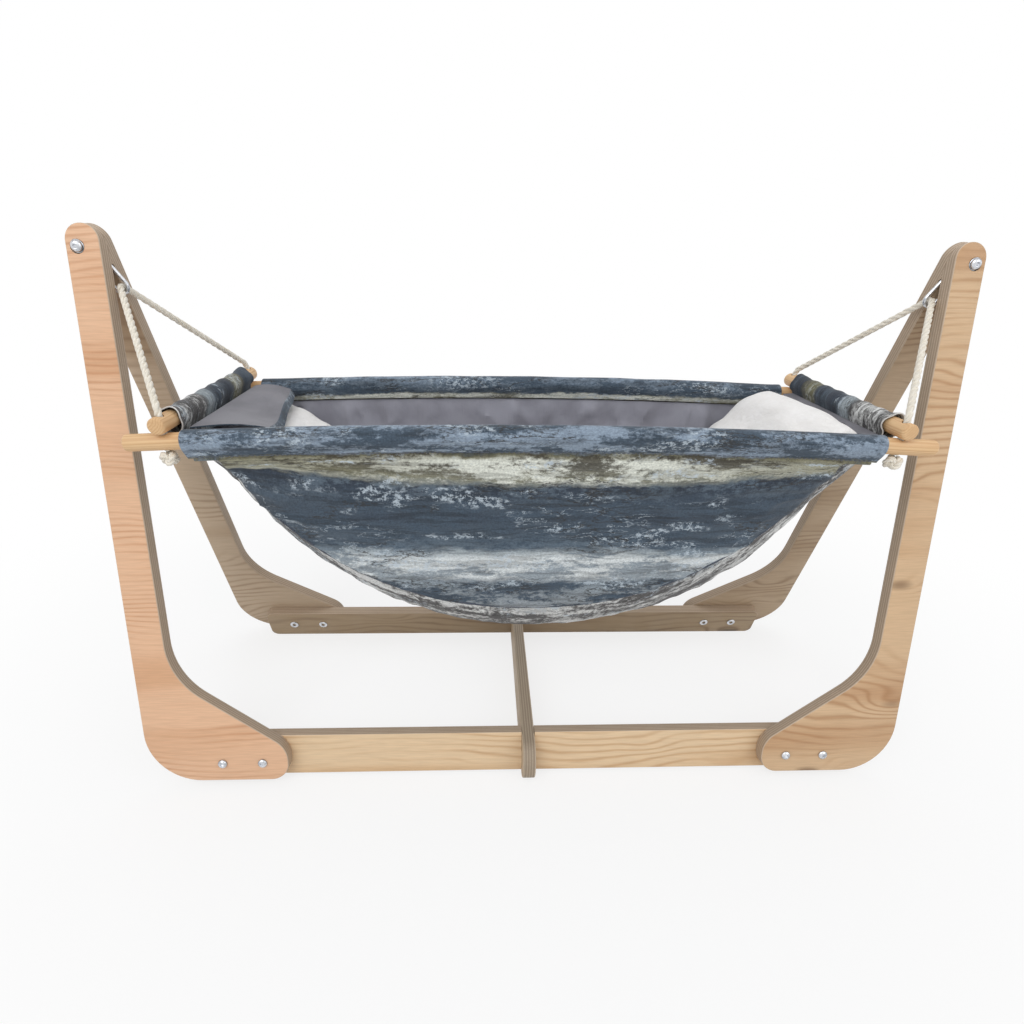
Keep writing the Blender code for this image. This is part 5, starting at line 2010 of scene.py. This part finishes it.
    def add_belly_cloth(self, material: bpy.types.Material, edge: bpy.types.Material) -> None:
        """One cloth over both short dowels and along the belly.

        Args:
            material: The printed cloth.
            edge: Its cut edges.
        """
        full, shares = self.belly_path()
        half, grid, uvs = self.strip_half, [], []
        for (x, z), s, arc in zip(full, shares, arc_lengths(full)):
            row = []
            for index in range(self.strip_rows + 1):
                t = 2 * index / self.strip_rows - 1
                if s is not None:
                    row.append(self.belly_point(s, half * t * 0.997))
                else:
                    flare = max(abs(t) - 0.78, 0) / 0.22
                    frill = flare ** 2 * (0.0016 + 0.0012 * math.sin(arc * 420 + 2 * t))
                    centre = math.copysign(self.layout.half_length, x)
                    away = Vector((x - centre, z - self.layout.short_dowel_z))
                    moved = away.normalized() * frill
                    row.append((x + moved.x, self.short_sleeve_half * t, z + moved.y))
            grid.append(row)
            uvs.append([(arc, 2 * self.short_sleeve_half * i / self.strip_rows)
                        for i in range(self.strip_rows + 1)])
        faces = sheet_faces(len(grid), self.strip_rows + 1)

        def push(at: np.ndarray, cloth_uv: np.ndarray) -> np.ndarray:
            """Creases of the belly and gathers of the sleeves.

            Args:
                at: Points of the sheet.
                cloth_uv: Their places on the flat cloth.

            Returns:
                How far each point moves along its normal.
            """
            near = np.abs(np.abs(at[:, 0]) - self.layout.half_length)
            belly = (np.clip((near - 0.012) / 0.02, 0, 1)
                     * np.clip((self.loose_level - at[:, 2]) / 0.02, 0, 1))
            creases = np.abs(perlin(at, (40.0, 16.0, 20.0), 2.0))
            gathers = 0.0005 * np.sin(cloth_uv[:, 1] * 260 + 3 * np.sin(cloth_uv[:, 0] * 60))
            return (belly * (self.ripple(at) + 0.0014 * (0.3 - creases).clip(0) / 0.3)
                    + (1 - belly) * (0.0005 + gathers))

        piece = cloth_piece("belly_cloth", grid, uvs, faces, self.cloth * 0.8, material, push,
                            edge)
        finish_piece(piece, Body.HAMMOCK, "mottled_cloth", "belly_strip", "sleeve_left",
                     "sleeve_right")

    def add_lining(self, material: bpy.types.Material) -> None:
        """The grey lining: both walls and the belly in one cloth.

        Args:
            material: The grey cloth.
        """
        rows_wall, rows_belly = 26, 40
        stations = self.stations()[1:-1]
        half_panel = self.layout.half_length - self.long_sleeve_inset - self.panel_inset
        grid, uvs, walls = [], [], []
        for s in stations:
            x, _ = self.keel(s)
            walls.append(abs(x - self.seam_shift) < half_panel)
            column, uv = [], []
            depth = self.rim_z(x) - self.edge_z(x)
            for i in range(rows_wall):
                w = i / rows_wall
                column.append(self.wall_point(x, w, Side.FRONT))
                uv.append((x, depth * w))
            for i in range(rows_belly + 1):
                t = 2 * i / rows_belly - 1
                column.append(self.belly_point(s, self.strip_half * t))
                uv.append((x, depth + self.strip_half * (t + 1)))
            for i in range(1, rows_wall + 1):
                w = 1 - i / rows_wall
                column.append(self.wall_point(x, w, Side.REAR))
                uv.append((x, depth + 2 * self.strip_half + depth * (1 - w)))
            grid.append(column)
            uvs.append(uv)
        first, last = rows_wall, rows_wall + rows_belly
        faces = sheet_faces(len(grid), len(grid[0]), lambda r, c: first <= c < last
                            or (walls[r] and walls[r + 1]))
        points = np.array(grid).reshape(-1, 3)
        to_middle = np.array((0.0, 0.0, 0.42)) - points
        outward = np.sum(point_normals(points, np.array(faces)) * to_middle) < 0

        def push(at: np.ndarray, cloth_uv: np.ndarray) -> np.ndarray:
            """Standing folds of the walls under their rims, and the sling's creases.

            Args:
                at: Points of the sheet.
                cloth_uv: Their places on the flat cloth.

            Returns:
                How far each point moves along its normal.
            """
            wall = np.clip((np.abs(at[:, 1]) - self.strip_half) / 0.004, 0, 1)
            rim = np.array([self.rim_z(x) for x in at[:, 0]])
            hang = (np.clip((rim - at[:, 2]) / 0.012, 0, 1)
                    * np.clip((at[:, 2] - rim + 0.10) / 0.04, 0.25, 1))
            sway = perlin(at, (7.0, 3.0, 4.0), 21.0)
            folds = 0.5 + 0.5 * np.sin(at[:, 0] * 105 + 8.0 * sway)
            creases = (0.13 - np.abs(perlin(at, (24.0, 3.0, 14.0), 31.0))).clip(0) / 0.13
            inward = wall * hang * (0.0070 * folds ** 4 + 0.0050 * creases)
            return self.gap + inward - self.ripple(at)

        piece = cloth_piece("lining_cloth", grid, uvs, faces, self.lining * 0.8, material, push,
                            flip=bool(outward))
        finish_piece(piece, Body.HAMMOCK, "grey_lining", "lining")

    def flap_length(self, b: float) -> float:
        """Length of the flap at b, from its front edge, 0, to its rear one, 1."""
        return self.flap_long + (self.flap_short - self.flap_long) * b

    def add_flap(self, material: bpy.types.Material, edge: bpy.types.Material) -> None:
        """Loose end of the lining that lies over the mat at the left.

        Args:
            material: The grey cloth.
            edge: The printed cloth of its hem.
        """
        rows, columns = 40, 44
        grid, uvs = [], []
        for i in range(rows + 1):
            a = i / rows
            hem = max(a - self.flap_hem, 0) / (1 - self.flap_hem)
            level = self.flap_start[1] + 0.004 * (math.sin(math.pi * a) - a) - 0.005 * hem ** 2
            for j in range(columns + 1):
                b = j / columns
                sag = 0.005 * (1 - (2 * b - 1) ** 2) * min(a * 1.6, 1.0)
                fold = 0.0030 * math.sin(9.5 * b + 2.2 * a) * a * (1 - 0.2 * a)
                grid.append((self.flap_start[0] + self.flap_length(b) * (a - 0.064 * hem),
                             self.flap_width * (b - 0.5), level - sag + fold))
                uvs.append((0.17 * b - 0.4, 0.112 + 0.025 * a))
        piece = cloth_piece("lining_flap", grid, uvs, sheet_faces(rows + 1, columns + 1),
                            self.lining, material, None, edge, True)
        for polygon in piece.data.polygons:
            x_min = min(piece.data.vertices[v].co.x for v in polygon.vertices)
            length = self.flap_length(polygon.center.y / self.flap_width + 0.5)
            if x_min > self.flap_start[0] + length * (self.flap_hem + 0.01):
                polygon.material_index = 1
        finish_piece(piece, Body.HAMMOCK, "grey_lining")

    def add_hem_strip(self, material: bpy.types.Material) -> None:
        """Narrow scalloped edge of the lining that shows beside the right sleeve.

        Args:
            material: The grey cloth.
        """
        rows, columns = 8, 60
        grid, uvs = [], []
        for i in range(rows + 1):
            a = i / rows
            for j in range(columns + 1):
                y = self.strip_width * (j / columns - 0.5)
                scallop = 0.0024 * math.sin(y * 190) + 0.0016 * math.sin(y * 71 + 1.0)
                curl = 0.0012 * math.sin(y * 150 + 1.5) - self.strip_drop
                grid.append((self.strip_start[0] - (self.strip_reach + scallop) * a, y,
                             self.strip_start[1] + curl * a))
                uvs.append((0.0150 * a, y))
        piece = cloth_piece("lining_hem_strip", grid, uvs, sheet_faces(rows + 1, columns + 1),
                            self.lining, material, flip=True)
        finish_piece(piece, Body.HAMMOCK, "grey_lining")

    def add_seams(self, thread: bpy.types.Material) -> None:
        """Corded seams between walls and belly, and the sleeves' stitching.

        Args:
            thread: Finish of the thread.
        """
        half_panel = self.layout.half_length - self.seam_inset - 0.002
        xs = [half_panel * math.sin(math.pi / 2 * t) for t in np.linspace(-1, 1, 161)]
        for side in Side:
            word = side.name.lower()
            line = np.array([self.wall_point(x, 1.0, side) for x in xs])
            line = line + np.stack([perlin(line, (60.0, 9.0, 9.0), 3.0) * 0.0004,
                                    side.value * (0.0007 + 0.0003 * np.sin(line[:, 0] * 700)),
                                    -0.0009 + perlin(line, (90.0, 9.0, 9.0)) * 0.0004], axis=1)
            piece = laid_rope(f"seam_{word}", line, self.cord_radius, self.cord_pitch, thread)
            finish_piece(piece, Body.HAMMOCK, "printed_cloth")
            top = np.linspace(-self.stitch_half, self.stitch_half, 120)
            run = np.array([(x, side.value * (self.layout.half_width + self.stitch_out),
                             self.rim_z(x) + self.stitch_out) for x in top])
            row = stitches(f"stitch_row_{word}", run, np.array((0.0, side.value, -0.2)), thread)
            finish_piece(row, Body.HAMMOCK, "printed_cloth")

    def build(self) -> None:
        """Builds every cloth of the sling and its seams."""
        edge, thread = self.raw_edge.make(), self.thread.make()
        grey = self.lining_finish.make()
        long_print = LONG_PRINT.make()
        for side in Side:
            self.add_long_cloth(side, long_print, edge)
        self.add_belly_cloth(SHORT_PRINT.make(), edge)
        self.add_lining(grey)
        flap_grey = self.flap_finish.make()
        self.add_flap(flap_grey, long_print)
        self.add_hem_strip(flap_grey)
        self.add_seams(thread)


@dataclass
class PlushMat:
    """The loose white mat: a padded form that follows the belly, blown up as cloth."""

    sling: Sling
    half_width: float = 0.083
    end_widening: float = 0.013
    left_end: float = -0.93
    right_end: float = 0.988
    under: float = 0.0041
    puff: tuple[tuple[float, float], ...] = ((-0.93, 0.030), (-0.5, 0.046), (0.0, 0.034),
                                             (0.5, 0.050), (0.988, 0.030))
    crown: tuple[tuple[float, float], ...] = (
        (-0.93, 0.380), (-0.86, 0.390), (-0.80, 0.390), (-0.74, 0.384), (-0.66, 0.362),
        (-0.58, 0.330), (-0.5, 0.290), (-0.4, 0.232), (0.0, 0.10), (0.4, 0.232), (0.5, 0.300),
        (0.6, 0.352), (0.68, 0.386), (0.76, 0.412), (0.82, 0.421), (0.88, 0.423),
        (0.92, 0.416), (0.95, 0.397), (0.988, 0.390))
    thinnest: float = 0.004
    rounding: float = 0.018
    voxel: float = 0.0045
    cap: float = 0.0045
    pressure: float = 3.5
    mass: float = 0.25
    stretch_stiffness: float = 12.0
    bending_stiffness: float = 0.4
    frames: int = 14
    finish: PlainClothFinish = PlainClothFinish("white_plush_cloth", srgb(252, 250, 249),
                                                srgb(238, 235, 232), 1.0, 0.35)

    def above(self, s: float, y: float, height: float) -> Vector:
        """A point square to the belly's inner face.

        Args:
            s: Place along the belly, -1 to 1.
            y: Place across it.
            height: Height over it.

        Returns:
            The point.
        """
        spots = ((min(s + 0.003, 1), y), (max(s - 0.003, -1), y), (s, y + 0.001), (s, y - 0.001),
                 (s, y))
        ahead, behind, rear, front, here = [Vector(self.sling.belly_point(*spot))
                                            for spot in spots]
        return here + (ahead - behind).cross(rear - front).normalized() * height

    def rings(self) -> np.ndarray:
        """Rings of the mat's form, from its left end to its right one.

        Returns:
            The rings' points.
        """
        half_length = self.sling.layout.half_length
        round_share = self.rounding / half_length
        ends = [(0.004 + 0.996 * i / 9) ** 2 * round_share for i in range(9)]
        inner = np.linspace(self.left_end + round_share, self.right_end - round_share, 90)
        stations = ([self.left_end + e for e in ends] + list(inner)
                    + [self.right_end - e for e in reversed(ends)])
        rings = []
        for s in stations:
            reach = min(s - self.left_end, self.right_end - s) * half_length / self.rounding
            full = (1 - (1 - min(reach, 1)) ** 3) ** 0.5
            thick = float(np.interp(s, *zip(*self.puff)))
            crown = float(np.interp(s, *zip(*self.crown)))
            wider = self.end_widening * min(max((abs(s) - 0.45) / 0.25, 0.0), 1.0)
            upward = min(max((abs(s) - 0.25) / 0.3, 0.0), 1.0)
            width = (self.half_width + wider) * (0.86 + 0.14 * full)
            width *= 1 - 0.035 * math.cos(s * 21) ** 2
            ring = []
            for a in np.linspace(0, math.tau, 36, endpoint=False):
                c, d = math.cos(a), math.sin(a)
                across = math.copysign(abs(c) ** 0.48, c)
                low, high, base = [self.above(s, width * across, height)
                                   for height in (0.0, 0.01, self.under)]
                room = max(self.sling.loose_level - base.z, self.thinnest)
                tall = max(min(thick, room), crown - base.z)
                rise = tall * full * (0.5 + 0.5 * math.copysign(abs(d) ** 0.7, d))
                dimple = 1 - 0.10 * (0.5 + 0.5 * math.cos(s * 26 + across)) * max(d, 0)
                square = (high - low).normalized()
                way = (square * (1 - upward) + Vector((0, 0, upward))).normalized()
                ring.append(base + way * (rise * dimple))
            rings.append(ring)
        return np.array(rings)

    def blow_up(self, obj: bpy.types.Object) -> None:
        """Remeshes the form and lets cloth pressure plump it within the cap.

        Args:
            obj: The form.
        """
        remesh = obj.modifiers.new("voxels", "REMESH")
        remesh.mode, remesh.voxel_size = "VOXEL", self.voxel
        mesh = settled(obj)
        obj.modifiers.clear()
        obj.data = mesh
        before = np.array([v.co for v in mesh.vertices])
        cloth = obj.modifiers.new("cloth", "CLOTH")
        settings = cloth.settings
        settings.quality, settings.mass = 5, self.mass
        settings.tension_stiffness = settings.compression_stiffness = self.stretch_stiffness
        settings.bending_stiffness = self.bending_stiffness
        settings.use_pressure, settings.uniform_pressure_force = True, self.pressure
        settings.effector_weights.gravity = 0.0
        cloth.point_cache.frame_start, cloth.point_cache.frame_end = 1, self.frames
        scene = bpy.context.scene
        for step in range(1, self.frames + 1):
            scene.frame_set(step)
        graph = bpy.context.evaluated_depsgraph_get()
        after = np.array([v.co for v in obj.evaluated_get(graph).data.vertices])
        obj.modifiers.clear()
        scene.frame_set(1)
        move = after - before
        length = np.linalg.norm(move, axis=1, keepdims=True)
        move *= np.minimum(1, self.cap / np.maximum(length, 1e-9))
        shares = np.clip(before[:, 0] / self.sling.layout.half_length, -1, 1)
        keel = np.array([self.sling.keel(float(share))[1] for share in shares])
        # The underside lies on the belly cloth and can hardly sink.
        low = before[:, 2] < keel + 0.05
        move[low & (move[:, 2] < 0), 2] *= 0.1
        mesh.vertices.foreach_set("co", (before + move).astype(np.float32).ravel())
        mesh.update()

    def build(self) -> None:
        """Builds the mat."""
        rings = self.rings()
        material = self.finish.make()
        obj = mesh_object("plush_pad", rings.reshape(-1, 3), ring_surface(rings, False), material)
        mend(obj.data)
        self.blow_up(obj)
        points = np.array([v.co for v in obj.data.vertices])
        normals = np.array([v.normal for v in obj.data.vertices])
        up = np.clip(normals[:, 2] + 0.35, 0, 1)
        crease = (0.22 - np.abs(perlin(points, (24.0, 13.0, 24.0), 40.0))).clip(0) / 0.22
        swellings = perlin(points, (15.0, 12.0, 15.0), 44.0)
        moved = points + normals * (up * (0.0016 * swellings - 0.0034 * crease ** 1.5))[:, None]
        obj.data.vertices.foreach_set("co", moved.astype(np.float32).ravel())
        smooth = obj.modifiers.new("smooth", "CORRECTIVE_SMOOTH")
        smooth.factor, smooth.iterations, smooth.use_only_smooth = 0.5, 6, True
        fine = obj.modifiers.new("fine", "SUBSURF")
        fine.levels = fine.render_levels = 1
        piece = shown("plush_pad", evaluated(obj), material, 180)
        finish_piece(piece, Body.HAMMOCK, "white_plush", "plush_mat")


@dataclass
class Studio:
    """Camera at the photograph's angle, a pale floor, soft lamps and a white surround."""

    focal_pixels: float = 551.3977
    image: float = 1024.0
    middle: tuple[float, float] = (502.231, 522.5939)
    place: tuple[float, float, float] = (-0.0563246, -0.596228, 0.5691897)
    yaw: float = 0.0432
    pitch: float = 0.4699
    roll: float = 0.0209
    sensor: float = 36.0
    surround: float = 0.56
    sky: Colour = (0.97, 0.985, 1.0, 1.0)
    white: Colour = (1.0, 1.0, 1.0, 1.0)
    paint: Colour = (0.86, 0.86, 0.86, 1.0)
    floor_half: float = 14.0
    floor_drop: float = 0.0004

    def add_camera(self) -> None:
        """Places the camera as the photograph's perspective asks."""
        ahead = Vector((math.sin(self.yaw) * math.cos(self.pitch),
                        math.cos(self.yaw) * math.cos(self.pitch), -math.sin(self.pitch)))
        level = Vector((math.cos(self.yaw), -math.sin(self.yaw), 0))
        up = level.cross(ahead)
        right = level * math.cos(self.roll) + up * math.sin(self.roll)
        top = up * math.cos(self.roll) - level * math.sin(self.roll)
        data = bpy.data.cameras.new("photo_camera")
        data.sensor_width = self.sensor
        data.lens = self.focal_pixels / self.image * data.sensor_width
        data.shift_x = (self.image / 2 - self.middle[0]) / self.image
        data.shift_y = (self.middle[1] - self.image / 2) / self.image
        data.clip_start, data.clip_end = 0.02, 60.0
        rotation = Matrix((right, top, -ahead)).transposed().to_4x4()
        bpy.context.scene.camera = placed("photo_camera", data,
                                          Matrix.Translation(self.place) @ rotation)

    def seen(self, sketch: Sketch) -> Socket:
        """1 for rays that only look at the surround, 0 for rays that light the object.

        Args:
            sketch: The nodes that need it.

        Returns:
            The number.
        """
        path = sketch.node("LightPath").outputs
        both = sketch.math("MAXIMUM", path["Is Camera Ray"], path["Is Glossy Ray"])
        return sketch.math("MAXIMUM", both, path["Is Transmission Ray"])

    def add_world(self) -> None:
        """An even soft surround that looks white."""
        world = bpy.data.worlds.new("soft_surround")
        bpy.context.scene.world = world
        world.use_nodes = True
        world.node_tree.nodes.clear()
        s = Sketch(world.node_tree)
        soft = s.node("Background", {"Color": self.sky, "Strength": self.surround})
        white = s.node("Background", {"Color": self.white, "Strength": 1.0})
        mixed = s.node("MixShader", {0: self.seen(s), 1: soft.outputs[0], 2: white.outputs[0]})
        s.node("OutputWorld", {0: mixed.outputs[0]})

    def add_floor(self) -> None:
        """A pale floor that keeps the shadow and turns into the white surround."""
        half = self.floor_half
        verts = [(-half, -half, 0), (half, -half, 0), (half, half, 0), (-half, half, 0)]
        material = bpy.data.materials.new("studio_floor")
        material.use_nodes = True
        material.node_tree.nodes.clear()
        s = Sketch(material.node_tree)
        x, y, _ = s.split(s.node("TexCoord").outputs["Object"])
        far = s.math("SQRT", s.plus(s.times(x, x), s.times(y, y)))
        share = s.times(s.remap(far, 0.35, 1.1, 0.76, 1.0), self.seen(s))
        paint = s.node("BsdfDiffuse", {"Color": self.paint})
        glow = s.node("Emission", {"Color": self.white, "Strength": 1.0})
        mixed = s.node("MixShader", {0: share, 1: paint.outputs[0], 2: glow.outputs[0]})
        s.node("OutputMaterial", {0: mixed.outputs[0]})
        floor = mesh_object("studio_floor", verts, [[0, 1, 2, 3]], material)
        floor.location.z = -self.floor_drop

    def add_lamp(self, name: str, place: tuple[float, float, float], size: float,
                 watts: float) -> None:
        """A large square lamp aimed at the hammock.

        Args:
            name: Name of the lamp.
            place: Its place.
            size: Length of its sides.
            watts: Its power.
        """
        data = bpy.data.lights.new(name, "AREA")
        data.shape, data.size, data.energy = "SQUARE", size, watts
        aim = Vector((0, 0, 0.3)) - Vector(place)
        rotation = aim.to_track_quat("-Z", "Y").to_matrix().to_4x4()
        placed(name, data, Matrix.Translation(place) @ rotation)

    def build(self) -> None:
        """Sets the view, the surround, the floor and the lamps."""
        settings = bpy.context.scene.view_settings
        settings.view_transform = "Standard"
        self.add_camera()
        self.add_world()
        self.add_floor()
        self.add_lamp("key_lamp", (-1.3, -2.0, 2.6), 2.2, 40.0)
        self.add_lamp("fill_lamp", (1.9, -1.6, 1.9), 2.2, 18.0)
        self.add_lamp("top_lamp", (0.1, 1.2, 2.9), 2.4, 16.0)


def main() -> None:
    """Builds the whole picture in order."""
    logging.basicConfig(level=logging.INFO, format="%(name)s: %(message)s")
    Studio().build()
    PlyStand().build()
    Fasteners().build()
    RopePair().build()
    DowelFrame().build()
    sling = Sling()
    sling.build()
    PlushMat(sling).build()
    bpy.context.view_layer.update()


if __name__ == "__main__":
    main()
